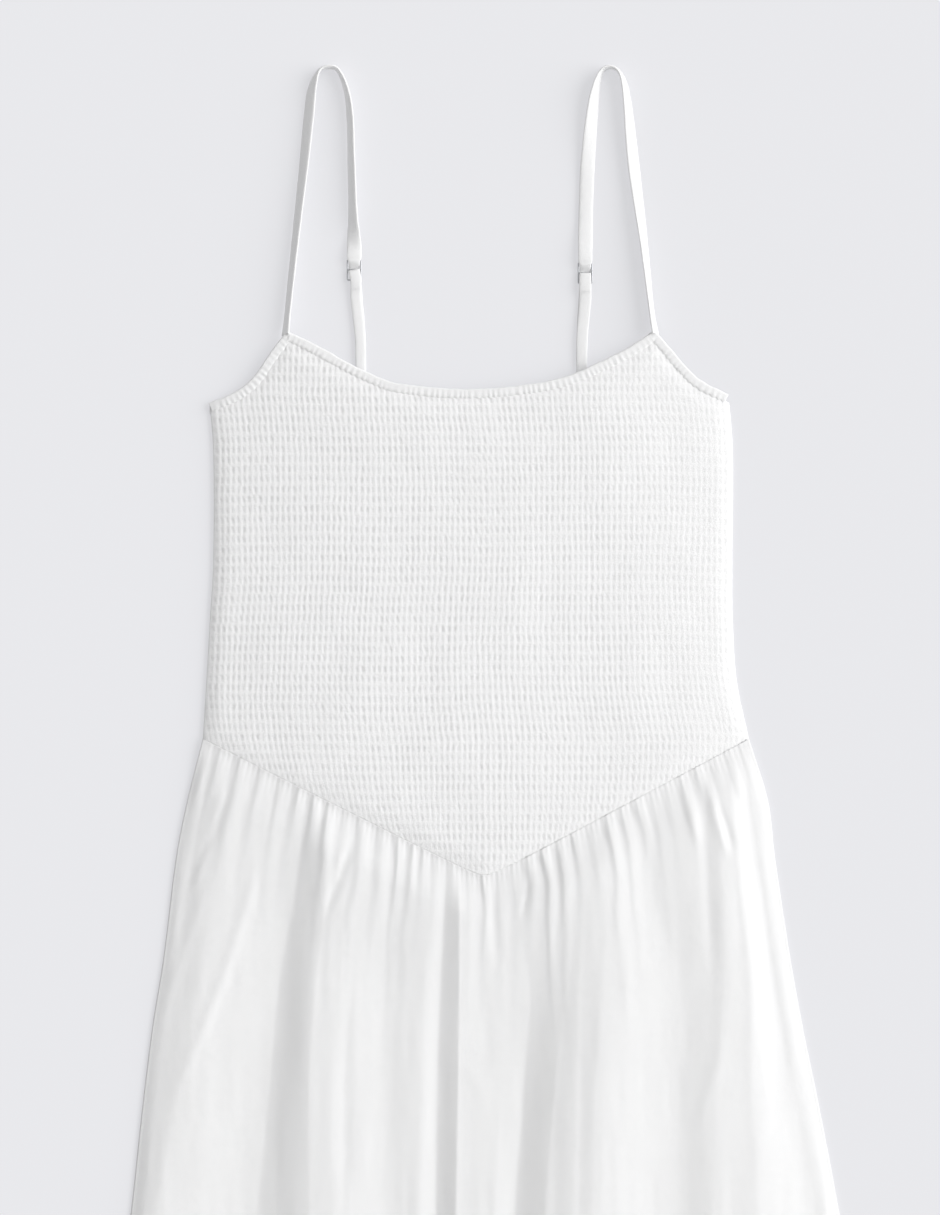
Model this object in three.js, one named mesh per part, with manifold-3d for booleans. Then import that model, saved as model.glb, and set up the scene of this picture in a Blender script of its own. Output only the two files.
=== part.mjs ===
// A sleeveless summer dress with thin adjustable straps, laid flat on its back.
// The bodice is smocked with rows of elastic and ends in a V below the waist, and a
// gathered skirt hangs from the V. Millimetres, +X to the wearer's left as seen from
// above, +Y from hem to straps, +Z up. The origin is the middle of the dress's own
// outline, on the surface that it lies on.
import * as THREE from "three";
import { mergeVertices } from "three/addons/utils/BufferGeometryUtils.js";
import Module from "manifold-3d";

const wasm = await Module();
wasm.setup();

// Lengths along the dress
const STRAP_TOP_Y = 440;
const BACK_NECK_Y = 207;
const WAIST_Y = -23.5;
const V_POINT = { x: -1.4, y: -116.8 };
const V_ROUND = 6;
const HEM_Y = -440;
const HEM_RISE_AT_SIDES = 5;

// Cloth thicknesses, and the gap that is left wherever two pieces meet
const SEAM_GAP = 0.3;
const BACK_BODICE_WALL = 2;
const FRONT_BODICE_WALL = 1.8;
const SKIRT_WALL = 1.5;
const BINDING_WIDTH = 6.5;
const BINDING_THICK = 2.6;
const STRAP_WIDTH = 10;
const STRAP_THICK = 1.4;

// How far the upper layer stands off the lower one, between its side seams
const BODICE_LIFT = 7;
const SKIRT_LIFT = 3;
const SKIRT_SETTLES_BY = 110;

// Smocking: each raised pucker stands for two gathers and two rows of elastic
const SMOCK_COLUMNS = 40;
const SMOCK_ROWS = 23;
const PUCKER_HEIGHT = 1.7;
const PUCKER_AT_ELASTIC = 0.25;
const FURROW_SHARE = 0.12;

// Skirt gathers along the V seam, which fade out below it
const GATHERS = 35;
const COLUMNS_PER_GATHER = 4;
const GATHER_HEIGHT = 2;
const BACK_FOLD_HEIGHT = 2.2;

// Half the flat outline, at heights down the dress: x of the left and of the right edge
const BODICE_SIDES = [
  { y: 214, left: -191.5, right: 166.8 },
  { y: 175, left: -188.4, right: 169.7 },
  { y: 99, left: -188.4, right: 169.4 },
  { y: 58, left: -190.8, right: 169.7 },
  { y: 16, left: -193.2, right: 172.5 },
  { y: WAIST_Y, left: -195.6, right: 180.8 },
];
const SKIRT_SIDES = [
  { y: WAIST_Y, left: -195.6, right: 180.8 },
  { y: -66, left: -206.4, right: 194 },
  { y: -105, left: -214.1, right: 198.8 },
  { y: -175, left: -222.9, right: 209.5 },
  { y: -222, left: -230.5, right: 218 },
  { y: -283, left: -238, right: 230.5 },
  { y: -353, left: -245.6, right: 243.6 },
  { y: HEM_Y + HEM_RISE_AT_SIDES, left: -256, right: 256 },
];

// Front neckline from strap to strap, and each armhole from its strap to its side seam
const NECKLINE = [
  { x: -137.5, y: 257.5 },
  { x: -119.8, y: 248.9 },
  { x: -85.4, y: 230.5 },
  { x: -59.1, y: 220.8 },
  { x: -12, y: 217.2 },
  { x: 34.8, y: 221.3 },
  { x: 61.3, y: 228.5 },
  { x: 98.3, y: 246.3 },
  { x: 115, y: 258 },
];
const ARMHOLE_LEFT = [
  { x: -137.5, y: 257.5 },
  { x: -148.8, y: 242.3 },
  { x: -160.8, y: 225.1 },
  { x: -173.9, y: 215.3 },
  { x: -191.5, y: 208 },
];
const ARMHOLE_RIGHT = [
  { x: 115, y: 258 },
  { x: 124.6, y: 247.6 },
  { x: 133.9, y: 236.5 },
  { x: 147, y: 223.8 },
  { x: 166.8, y: 213.9 },
];

// The skirt's long folds from left to right: crests, hollows and the places where a slope
// changes. seam, middle and hem say where each runs at FOLD_LEVELS, the rises how high it
// stands there above the panel, and soft how round it is: 1 is a smooth bend, 0 a crease.
const FOLD_LEVELS = { seam: -60, middle: -190, hem: HEM_Y };
const FOLDS = [
  { name: "rolled edge", seam: -195.6, middle: -219.8, hem: -241.8, riseSeam: 1.2, riseMiddle: 1.3, riseHem: 1.3, soft: 0.8 },
  { name: "broad crest", seam: -154.9, middle: -193.5, hem: -208, riseSeam: 2.2, riseMiddle: 3, riseHem: 3.2, soft: 0.9 },
  { name: "first valley", seam: -127.3, middle: -144.6, hem: -163.2, riseSeam: 1.6, riseMiddle: 0.4, riseHem: 0, soft: 0.7 },
  { name: "first great crest", seam: -110.1, middle: -119, hem: -117.6, riseSeam: 3.2, riseMiddle: 5.2, riseHem: 6.2, soft: 0.2 },
  { name: "brow behind it", seam: -97.6, middle: -102.5, hem: -106.6, riseSeam: 3.2, riseMiddle: 5.6, riseHem: 6.8, soft: 0.9 },
  { name: "first slope", seam: -85.9, middle: -90.7, hem: -94.2, riseSeam: 2.8, riseMiddle: 5, riseHem: 6, soft: 0.9 },
  { name: "wide hollow", seam: -70, middle: -66.6, hem: -61.8, riseSeam: 2, riseMiddle: 3.6, riseHem: 4, soft: 0.9 },
  { name: "low crest", seam: -42.4, middle: -43.1, hem: -48, riseSeam: 2.6, riseMiddle: 4.4, riseHem: 4.8, soft: 0.9 },
  { name: "second valley", seam: -29.3, middle: -31.4, hem: -38.3, riseSeam: 1.6, riseMiddle: 3, riseHem: 3, soft: 0.6 },
  { name: "second great crest", seam: -19, middle: -19.7, hem: -20.4, riseSeam: 3.6, riseMiddle: 6.2, riseHem: 7.4, soft: 0.2 },
  { name: "flat behind it", seam: -4.5, middle: -1, hem: 2.4, riseSeam: 2.8, riseMiddle: 6, riseHem: 7.7, soft: 0.9 },
  { name: "third valley", seam: 12.8, middle: 23.8, hem: 14.8, riseSeam: 2.4, riseMiddle: 5, riseHem: 6.6, soft: 0.7 },
  { name: "third great crest", seam: 58.3, middle: 55.5, hem: 43.1, riseSeam: 3.8, riseMiddle: 9.2, riseHem: 11.2, soft: 0.2 },
  { name: "ledge", seam: 66.6, middle: 64.5, hem: 62.4, riseSeam: 3.2, riseMiddle: 9.4, riseHem: 12.2, soft: 0.9 },
  { name: "ledge's brow", seam: 78.3, middle: 79.7, hem: 71.4, riseSeam: 3.6, riseMiddle: 10.8, riseHem: 13.2, soft: 0.8 },
  { name: "long slope's foot", seam: 100.4, middle: 125.2, hem: 140.4, riseSeam: 2.2, riseMiddle: 5.6, riseHem: 6.6, soft: 0.9 },
  { name: "low ridge", seam: 151.5, middle: 162.5, hem: 168, riseSeam: 3.4, riseMiddle: 7.4, riseHem: 8, soft: 0.3 },
  { name: "shoulder", seam: 166.6, middle: 179.7, hem: 201.1, riseSeam: 3, riseMiddle: 6.2, riseHem: 7, soft: 0.9 },
  { name: "side slope", seam: 180.4, middle: 199.1, hem: 241.2, riseSeam: 1.4, riseMiddle: 2.7, riseHem: 2.9, soft: 0.9 },
];

// Each strap from the front of the bodice, over the shoulder bend, to above its slider.
// tilt turns the flat tape about its own length: 0 lies flat, 90 stands on edge, and 180
// lies flat again with its outer face down. lift raises it off the surface. The slider's
// middle and the tape's foot at the back neckline follow.
const STRAPS = {
  left: {
    turn: -1,
    slider: { x: -91.2, y: 299.8 },
    footX: -87,
    rows: [
      { x: -137.9, y: 258.2, tilt: 64, lift: 1 },
      { x: -137.3, y: 266, tilt: 66, lift: 0.6 },
      { x: -133.8, y: 300, tilt: 63, lift: 0.2 },
      { x: -129.9, y: 335.4, tilt: 57, lift: 0 },
      { x: -125.9, y: 370.6, tilt: 50, lift: 0 },
      { x: -122.3, y: 405.9, tilt: 44, lift: 0 },
      { x: -120.2, y: 424, tilt: 52, lift: 0 },
      { x: -115.6, y: 436.4, tilt: 80, lift: 0 },
      { x: -109.6, y: STRAP_TOP_Y - STRAP_THICK / 2, tilt: 90, lift: 0 },
      { x: -102.8, y: 437.6, tilt: 96, lift: 0 },
      { x: -97, y: 425, tilt: 106, lift: 0 },
      { x: -94.1, y: 405.9, tilt: 116, lift: 0 },
      { x: -93, y: 370.6, tilt: 121, lift: 0 },
      { x: -92, y: 337, tilt: 130, lift: 0 },
    ],
  },
  right: {
    turn: 1,
    slider: { x: 68, y: 297.6 },
    footX: 65.8,
    rows: [
      { x: 115.6, y: 258.9, tilt: 68, lift: 1 },
      { x: 114.2, y: 267, tilt: 70, lift: 0.6 },
      { x: 112.2, y: 283, tilt: 68, lift: 0.2 },
      { x: 108.3, y: 317.9, tilt: 57, lift: 0 },
      { x: 101.4, y: 370.6, tilt: 36, lift: 0 },
      { x: 96.9, y: 415, tilt: 56, lift: 0 },
      { x: 94.2, y: 430, tilt: 70, lift: 0 },
      { x: 90, y: 437.4, tilt: 84, lift: 0 },
      { x: 84.8, y: STRAP_TOP_Y - STRAP_THICK / 2, tilt: 90, lift: 0 },
      { x: 79.4, y: 436.6, tilt: 100, lift: 0 },
      { x: 75.6, y: 426, tilt: 120, lift: 0 },
      { x: 72.8, y: 408, tilt: 144, lift: 0 },
      { x: 69.6, y: 370.6, tilt: 172, lift: 0 },
      { x: 68.4, y: 337, tilt: 176, lift: 0 },
    ],
  },
};
const STRAP_SECTIONS = 44;

// The slider: a flat frame with two windows that the strap is threaded through
const SLIDER = { length: 15, width: 10.4, rail: 1, thick: 1.1, corner: 1 };
const WIDTH_IN_WINDOW = 7.8;
const WIDTH_BELOW_SLIDER = 9;
const WIDTH_AT_FOOT = 7;

// Heights at which the tape passes under the frame, the frame lies, and the tape passes
// over it, each clear of the next by the seam gap
const UNDER_Z = STRAP_THICK / 2;
const FRAME_Z = STRAP_THICK + SEAM_GAP;
const OVER_Z = FRAME_Z + SLIDER.thick + SEAM_GAP + STRAP_THICK / 2;
const RETURN_Z = STRAP_THICK * 1.5 + SEAM_GAP;

const COTTON = new THREE.MeshStandardMaterial({ color: 0xf4f4f3, roughness: 0.85, metalness: 0 });
const SMOCKED_COTTON = new THREE.MeshStandardMaterial({ color: 0xf1f1f0, roughness: 0.9, metalness: 0 });
const STEEL = new THREE.MeshStandardMaterial({ color: 0xa9abb0, roughness: 0.3, metalness: 1 });

const lerp = THREE.MathUtils.lerp;
const smoothstep = THREE.MathUtils.smoothstep;

// A closed geometry as a solid that can be cut and joined, and back again
function toSolid(geometry) {
  const bare = new THREE.BufferGeometry();
  bare.setAttribute("position", geometry.getAttribute("position"));
  if (geometry.index) bare.setIndex(geometry.index);
  const merged = mergeVertices(bare, 1e-3);
  return new wasm.Manifold(
    new wasm.Mesh({
      numProp: 3,
      vertProperties: merged.attributes.position.array,
      triVerts: new Uint32Array(merged.index.array),
    }),
  );
}

function toGeometry(solid) {
  const mesh = solid.getMesh();
  const geometry = new THREE.BufferGeometry();
  geometry.setAttribute("position", new THREE.BufferAttribute(mesh.vertProperties, 3));
  geometry.setIndex(new THREE.BufferAttribute(mesh.triVerts, 1));
  geometry.computeVertexNormals();
  return geometry;
}

// A smooth value between the rows of a table whose y falls from row to row
function smoothAt(rows, column, y) {
  const last = rows.length - 1;
  let i = 0;
  while (i < last - 1 && y < rows[i + 1].y) i += 1;
  const slope = (a, b) => (rows[b][column] - rows[a][column]) / (rows[b].y - rows[a].y);
  const here = rows[i];
  const next = rows[i + 1];
  const span = next.y - here.y;
  const t = THREE.MathUtils.clamp((y - here.y) / span, 0, 1);
  const leave = slope(Math.max(i - 1, 0), i + 1) * span;
  const arrive = slope(i, Math.min(i + 2, last)) * span;
  return (
    (2 * t ** 3 - 3 * t ** 2 + 1) * here[column] +
    (t ** 3 - 2 * t ** 2 + t) * leave +
    (3 * t ** 2 - 2 * t ** 3) * next[column] +
    (t ** 3 - t ** 2) * arrive
  );
}

// Height of the V seam below the waist
function seamY(x) {
  const reach = x - V_POINT.x;
  const end = x < V_POINT.x ? BODICE_SIDES.at(-1).left : BODICE_SIDES.at(-1).right;
  const climb = (WAIST_Y - V_POINT.y) / (Math.hypot(end - V_POINT.x, V_ROUND) - V_ROUND);
  return V_POINT.y + climb * (Math.hypot(reach, V_ROUND) - V_ROUND);
}

// 0 at either side seam and 1 over the middle, rising the faster the higher power is
function sideRise(u, power) {
  return 1 - Math.abs(2 * u - 1) ** power;
}

// Underside of the front bodice, which lies on the back one
function bodiceInner(x, y) {
  const level = Math.min(y, BODICE_SIDES[0].y);
  const left = smoothAt(BODICE_SIDES, "left", level);
  const right = smoothAt(BODICE_SIDES, "right", level);
  const u = THREE.MathUtils.clamp((x - left) / (right - left), 0, 1);
  return BACK_BODICE_WALL + SEAM_GAP + BODICE_LIFT * sideRise(u, 3);
}

// A block with a curved top over the grid of columns and rows, down to a flat floor
function block(columns, rows, place, floor) {
  const stride = columns + 1;
  const layer = stride * (rows + 1);
  const points = [];
  for (const top of [true, false]) {
    for (let j = 0; j <= rows; j += 1) {
      for (let i = 0; i <= columns; i += 1) {
        const p = place(i, j);
        points.push(p.x, p.y, top ? p.z : floor);
      }
    }
  }
  return closedGrid(points, columns, rows, layer);
}

// Faces for two grids of points, one above the other, joined round their rim. Columns
// run along +X and rows along +Y.
function closedGrid(points, columns, rows, layer) {
  const stride = columns + 1;
  const at = (i, j, low) => i + j * stride + (low ? layer : 0);
  const faces = [];
  const quad = (a, b, c, d) => faces.push(a, b, c, a, c, d);
  for (let j = 0; j < rows; j += 1) {
    for (let i = 0; i < columns; i += 1) {
      quad(at(i, j), at(i + 1, j), at(i + 1, j + 1), at(i, j + 1));
      quad(at(i, j, true), at(i, j + 1, true), at(i + 1, j + 1, true), at(i + 1, j, true));
    }
  }
  for (let i = 0; i < columns; i += 1) {
    quad(at(i, 0, true), at(i + 1, 0, true), at(i + 1, 0), at(i, 0));
    quad(at(i, rows), at(i + 1, rows), at(i + 1, rows, true), at(i, rows, true));
  }
  for (let j = 0; j < rows; j += 1) {
    quad(at(0, j), at(0, j + 1), at(0, j + 1, true), at(0, j, true));
    quad(at(columns, j, true), at(columns, j + 1, true), at(columns, j + 1), at(columns, j));
  }
  const geometry = new THREE.BufferGeometry();
  geometry.setAttribute("position", new THREE.Float32BufferAttribute(points, 3));
  geometry.setIndex(faces);
  return geometry;
}

// A cloth wall between an upper and a lower surface, each a function of u and v
function wall(columns, rows, upper, lower) {
  const points = [];
  for (const surface of [upper, lower]) {
    for (let j = 0; j <= rows.length - 1; j += 1) {
      for (let i = 0; i <= columns; i += 1) {
        const p = surface(i / columns, rows[j]);
        points.push(p.x, p.y, p.z);
      }
    }
  }
  return closedGrid(points, columns, rows.length - 1, points.length / 6);
}

function splineThrough(rows) {
  return new THREE.CatmullRomCurve3(rows.map((r) => new THREE.Vector3(r.x, r.y, r.z ?? 0)));
}

// Flat tape along a path. At each step, place gives the middle of its section, its width,
// and the tilt that turns the section about the path.
function tape(place, sections, thick) {
  const up = new THREE.Vector3(0, 0, 1);
  const points = [];
  for (let k = 0; k <= sections; k += 1) {
    const { middle, width, tilt } = place(k / sections);
    const along = place(Math.min((k + 0.5) / sections, 1))
      .middle.sub(place(Math.max((k - 0.5) / sections, 0)).middle)
      .normalize();
    const flat = new THREE.Vector3().crossVectors(up, along).normalize();
    const rise = new THREE.Vector3().crossVectors(along, flat);
    const angle = THREE.MathUtils.degToRad(tilt);
    const across = flat.clone().multiplyScalar(Math.cos(angle)).addScaledVector(rise, Math.sin(angle));
    const outward = new THREE.Vector3().crossVectors(along, across);
    for (const [w, t] of roundedSection(width / 2, thick / 2)) {
      const p = middle.clone().addScaledVector(across, w).addScaledVector(outward, t);
      points.push(p.x, p.y, p.z);
    }
  }
  const sides = points.length / 3 / (sections + 1);
  const faces = [];
  for (let k = 0; k < sections; k += 1) {
    for (let s = 0; s < sides; s += 1) {
      const a = k * sides + s;
      const b = k * sides + ((s + 1) % sides);
      faces.push(a, b, b + sides, a, b + sides, a + sides);
    }
  }
  const end = sections * sides;
  for (let s = 1; s < sides - 1; s += 1) {
    faces.push(0, s + 1, s);
    faces.push(end, end + s, end + s + 1);
  }
  const geometry = new THREE.BufferGeometry();
  geometry.setAttribute("position", new THREE.Float32BufferAttribute(points, 3));
  geometry.setIndex(faces);
  return geometry;
}

// Eight corners of a flat section with softened edges
function roundedSection(w, t) {
  const inset = w - 0.6 * t;
  const shoulder = 0.45 * t;
  return [
    [-w, -shoulder],
    [-inset, -t],
    [inset, -t],
    [w, -shoulder],
    [w, shoulder],
    [inset, t],
    [-inset, t],
    [-w, shoulder],
  ];
}

// A point beside an edge of the front bodice: t along it, and inward from it. Beyond
// its ends the edge runs straight on.
function besideEdge(edge, side, t, inward) {
  const end = THREE.MathUtils.clamp(t, 0, 1);
  const along = edge.getTangentAt(end);
  const p = edge.getPointAt(end).addScaledVector(along, (t - end) * edge.getLength());
  p.x += side * along.y * inward;
  p.y -= side * along.x * inward;
  return p;
}

// Binding that wraps an edge of the front bodice
function edgeBinding({ rows, sections, side, trim }) {
  const edge = splineThrough(rows);
  const place = (t) => {
    const middle = besideEdge(edge, side, lerp(trim, 1 - trim, t), BINDING_WIDTH / 2);
    middle.z = bodiceInner(middle.x, middle.y) + BINDING_THICK / 2;
    return { middle, width: BINDING_WIDTH, tilt: 0 };
  };
  return toSolid(tape(place, sections, BINDING_THICK));
}

// Tall block round a binding, larger by the seam gap, that its neighbours are cut with.
// outer is how far it reaches past the edge, and ends how far past the binding's ends.
function bindingCutter({ rows, sections, side }, outer, ends) {
  const edge = splineThrough(rows);
  const past = ends / edge.getLength();
  const line = (inward) =>
    Array.from({ length: sections + 1 }, (_, k) =>
      besideEdge(edge, side, lerp(-past, 1 + past, k / sections), inward),
    );
  return prism([...line(BINDING_WIDTH + SEAM_GAP), ...line(-outer).reverse()], -10, 40);
}

// An upright prism over a closed outline
function prism(points, low, high) {
  const shape = new THREE.Shape(points.map((p) => new THREE.Vector2(p.x, p.y)));
  const geometry = new THREE.ExtrudeGeometry(shape, { depth: high - low, bevelEnabled: false });
  return toSolid(geometry.translate(0, 0, low));
}

// Side edges and V seam of the bodice, round from the top of the left side to the top of
// the right one
function bodiceLowerOutline(topLeft, topRight) {
  const sideSteps = 14;
  const seamSteps = 40;
  const points = [];
  for (let k = 0; k < sideSteps; k += 1) {
    const y = lerp(topLeft, WAIST_Y, k / sideSteps);
    points.push({ x: smoothAt(BODICE_SIDES, "left", y), y });
  }
  const left = BODICE_SIDES.at(-1).left;
  const right = BODICE_SIDES.at(-1).right;
  for (let k = 0; k <= seamSteps; k += 1) {
    const x = lerp(left, right, k / seamSteps);
    points.push({ x, y: seamY(x) });
  }
  for (let k = sideSteps - 1; k >= 0; k -= 1) {
    const y = lerp(topRight, WAIST_Y, k / sideSteps);
    points.push({ x: smoothAt(BODICE_SIDES, "right", y), y });
  }
  return points;
}

const BINDINGS = {
  left: { rows: ARMHOLE_LEFT, sections: 14, side: -1, trim: 0 },
  right: { rows: ARMHOLE_RIGHT, sections: 14, side: 1, trim: 0 },
  neck: { rows: NECKLINE, sections: 32, side: 1, trim: 0.01 },
};

// Smocked front: a puckered top over a plain inside, cut to the outline of the panel
function bodiceFront() {
  const margin = 4;
  const box = {
    left: BODICE_SIDES.at(-1).left - margin,
    right: BODICE_SIDES.at(-1).right + margin,
    low: V_POINT.y - margin,
    high: NECKLINE[0].y + margin,
  };
  const columns = 2 * SMOCK_COLUMNS;
  const rows = 2 * SMOCK_ROWS;
  const outer = (i, j) => {
    const x = lerp(box.left, box.right, i / columns);
    const y = lerp(box.low, box.high, j / rows);
    const crest = i % 2 ? 1 : FURROW_SHARE;
    const puff = j % 2 ? 1 : PUCKER_AT_ELASTIC;
    return { x, y, z: bodiceInner(x, y) + FRONT_BODICE_WALL + PUCKER_HEIGHT * crest * puff };
  };
  const insideSteps = 12;
  const inside = (i, j) => {
    const x = lerp(box.left - 1, box.right + 1, i / insideSteps);
    const y = lerp(box.low - 1, box.high + 1, j / insideSteps);
    return { x, y, z: bodiceInner(x, y) };
  };
  const slab = toSolid(block(columns, rows, outer, -2)).subtract(
    toSolid(block(insideSteps, insideSteps, inside, -4)),
  );
  const edge = (rows) => splineThrough(rows).getPoints(24);
  const outline = [
    ...bodiceLowerOutline(ARMHOLE_LEFT.at(-1).y, ARMHOLE_RIGHT.at(-1).y),
    ...edge(ARMHOLE_RIGHT).reverse().slice(1),
    ...edge(NECKLINE).reverse().slice(1),
    ...edge(ARMHOLE_LEFT).slice(1, -1),
  ];
  return Object.values(BINDINGS).reduce(
    (solid, binding) => solid.subtract(bindingCutter(binding, 8, 8)),
    slab.intersect(prism(outline, -5, 30)),
  );
}

// Back of the bodice: one even layer on the surface, under the front
function bodiceBack() {
  const top = BACK_NECK_Y - BINDING_WIDTH - SEAM_GAP;
  return prism(bodiceLowerOutline(top, top), 0, BACK_BODICE_WALL);
}

function backNeckBinding() {
  const left = smoothAt(BODICE_SIDES, "left", BACK_NECK_Y);
  const right = smoothAt(BODICE_SIDES, "right", BACK_NECK_Y);
  const low = BACK_NECK_Y - BINDING_WIDTH;
  return prism(
    [
      { x: left, y: low },
      { x: right, y: low },
      { x: right, y: BACK_NECK_Y },
      { x: left, y: BACK_NECK_Y },
    ],
    0,
    BACK_BODICE_WALL,
  );
}

// A point of the skirt in plan: u from left seam to right, v from the V seam to the hem
function skirtPlan(u, v) {
  const waist = BODICE_SIDES.at(-1);
  const seam = seamY(lerp(waist.left, waist.right, u)) - SEAM_GAP;
  const hem = HEM_Y + HEM_RISE_AT_SIDES * (2 * u - 1) ** 2;
  const sideY = lerp(WAIST_Y, SKIRT_SIDES.at(-1).y, v);
  const left = smoothAt(SKIRT_SIDES, "left", sideY);
  const right = smoothAt(SKIRT_SIDES, "right", sideY);
  return { x: lerp(left, right, u), y: lerp(seam, hem, v), drop: v * (seam - hem), left, right };
}

// Each long fold as a table that its place across is read from
const FOLD_PATHS = FOLDS.map((fold) =>
  Object.entries(FOLD_LEVELS).map(([level, y]) => ({ y, x: fold[level] })),
);

// Height of a long fold above the panel
function foldRise(fold, v) {
  const upper = lerp(fold.riseSeam, fold.riseMiddle, Math.min(v / 0.42, 1));
  return lerp(upper, fold.riseHem, smoothstep(v, 0.42, 1));
}

// Height that the long folds add: an eased climb from each one to the next
function foldHeight(x, y, v, edges) {
  const ends = { rise: 0, soft: 0.5 };
  const places = [
    { at: edges.left, ...ends },
    ...FOLDS.map((fold, k) => ({
      at: smoothAt(FOLD_PATHS[k], "x", y),
      rise: foldRise(fold, v),
      soft: fold.soft,
    })),
    { at: edges.right, ...ends },
  ];
  const k = Math.max(1, places.findIndex((place) => place.at > x));
  const [from, to] = [places[k - 1], places[k]];
  const t = THREE.MathUtils.clamp((x - from.at) / Math.max(to.at - from.at, 0.5), 0, 1);
  const leave = (1 - from.soft) * (t ** 3 - 2 * t ** 2 + t);
  const arrive = (1 - to.soft) * (t ** 3 - t ** 2);
  return lerp(from.rise, to.rise, 3 * t ** 2 - 2 * t ** 3 + leave + arrive);
}

// Height that the small gathers add: a crest in the middle of each, fading down the skirt
function gatherHeight(u, v) {
  const index = Math.floor(u * GATHERS);
  const crest = Math.sin(Math.PI * (u * GATHERS - index));
  const reach = 0.12 + 0.1 * Math.abs(Math.sin(index * 2.4));
  return GATHER_HEIGHT * crest * Math.exp(-((v / reach) ** 1.4));
}

const FRONT_ROWS = [1, 0.8, 0.6, 0.42, 0.3, 0.2, 0.12, 0.05, 0];
const BACK_ROWS = [1, 0.7, 0.4, 0.18, 0.06, 0];

function skirtFront() {
  const surface = (above) => (u, v) => {
    const p = skirtPlan(u, v);
    const edge = smoothstep(Math.min(u, 1 - u), 0, 0.02);
    const atSeam = BODICE_LIFT * sideRise(u, 3) + BACK_BODICE_WALL - SKIRT_WALL;
    const lift = lerp(atSeam, SKIRT_LIFT * sideRise(u, 4), smoothstep(p.drop, 0, SKIRT_SETTLES_BY));
    const folds = smoothstep(p.drop, 0, 34) * foldHeight(p.x, p.y, v, p);
    p.z = SKIRT_WALL + SEAM_GAP + lift + edge * (folds + gatherHeight(u, v)) + above;
    return p;
  };
  return toSolid(wall(GATHERS * COLUMNS_PER_GATHER, FRONT_ROWS, surface(SKIRT_WALL), surface(0)));
}

// Back of the skirt: flat on the surface between low folds pressed under the front
function skirtBack() {
  const surface = (above) => (u, v) => {
    const p = skirtPlan(u, v);
    const gather = gatherHeight(u, v) / GATHER_HEIGHT;
    const fold = Math.max(0, Math.sin(u * Math.PI * 17)) ** 2 * smoothstep(v, 0.15, 0.5);
    const rise = Math.min(1, gather + fold);
    p.z = BACK_FOLD_HEIGHT * rise * sideRise(u, 4) + above;
    return p;
  };
  return toSolid(wall(GATHERS * 2, BACK_ROWS, surface(SKIRT_WALL), surface(0)));
}

function slider({ x, y }) {
  const { length, width, rail, thick, corner } = SLIDER;
  const oblong = (w, h, r, cy, Kind) => {
    const path = new Kind();
    path.moveTo(-w / 2 + r, cy - h / 2);
    path.lineTo(w / 2 - r, cy - h / 2);
    path.quadraticCurveTo(w / 2, cy - h / 2, w / 2, cy - h / 2 + r);
    path.lineTo(w / 2, cy + h / 2 - r);
    path.quadraticCurveTo(w / 2, cy + h / 2, w / 2 - r, cy + h / 2);
    path.lineTo(-w / 2 + r, cy + h / 2);
    path.quadraticCurveTo(-w / 2, cy + h / 2, -w / 2, cy + h / 2 - r);
    path.lineTo(-w / 2, cy - h / 2 + r);
    path.quadraticCurveTo(-w / 2, cy - h / 2, -w / 2 + r, cy - h / 2);
    return path;
  };
  const shape = oblong(width, length, corner, 0, THREE.Shape);
  const windowHeight = (length - 3 * rail) / 2;
  for (const sign of [-1, 1]) {
    const cy = (sign * (windowHeight + rail)) / 2;
    shape.holes.push(oblong(width - 2 * rail, windowHeight, corner / 2, cy, THREE.Path));
  }
  const frame = new THREE.ExtrudeGeometry(shape, { depth: thick, bevelEnabled: false, curveSegments: 3 });
  return frame.translate(x, y, FRAME_Z);
}

// Half the height of a tape that is turned by tilt
function halfHeight(tilt, width) {
  const angle = THREE.MathUtils.degToRad(tilt);
  return (width * Math.sin(angle) + STRAP_THICK * Math.abs(Math.cos(angle))) / 2;
}

// A tape through rows of x, y, z, tilt and width, eased from each row to the next and
// kept clear of the surface below
function tapeThrough(route, sections, turn) {
  const curve = splineThrough(route);
  const last = route.length - 1;
  const place = (t) => {
    const i = Math.min(Math.floor(t * last), last - 1);
    const ease = smoothstep(t * last - i, 0, 1);
    const [width, tilt] = ["width", "tilt"].map((c) => lerp(route[i][c], route[i + 1][c], ease));
    const middle = curve.getPoint(t);
    middle.z = Math.max(middle.z, halfHeight(tilt, width));
    return { middle, width, tilt: turn * tilt };
  };
  return tape(place, sections, STRAP_THICK);
}

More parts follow.
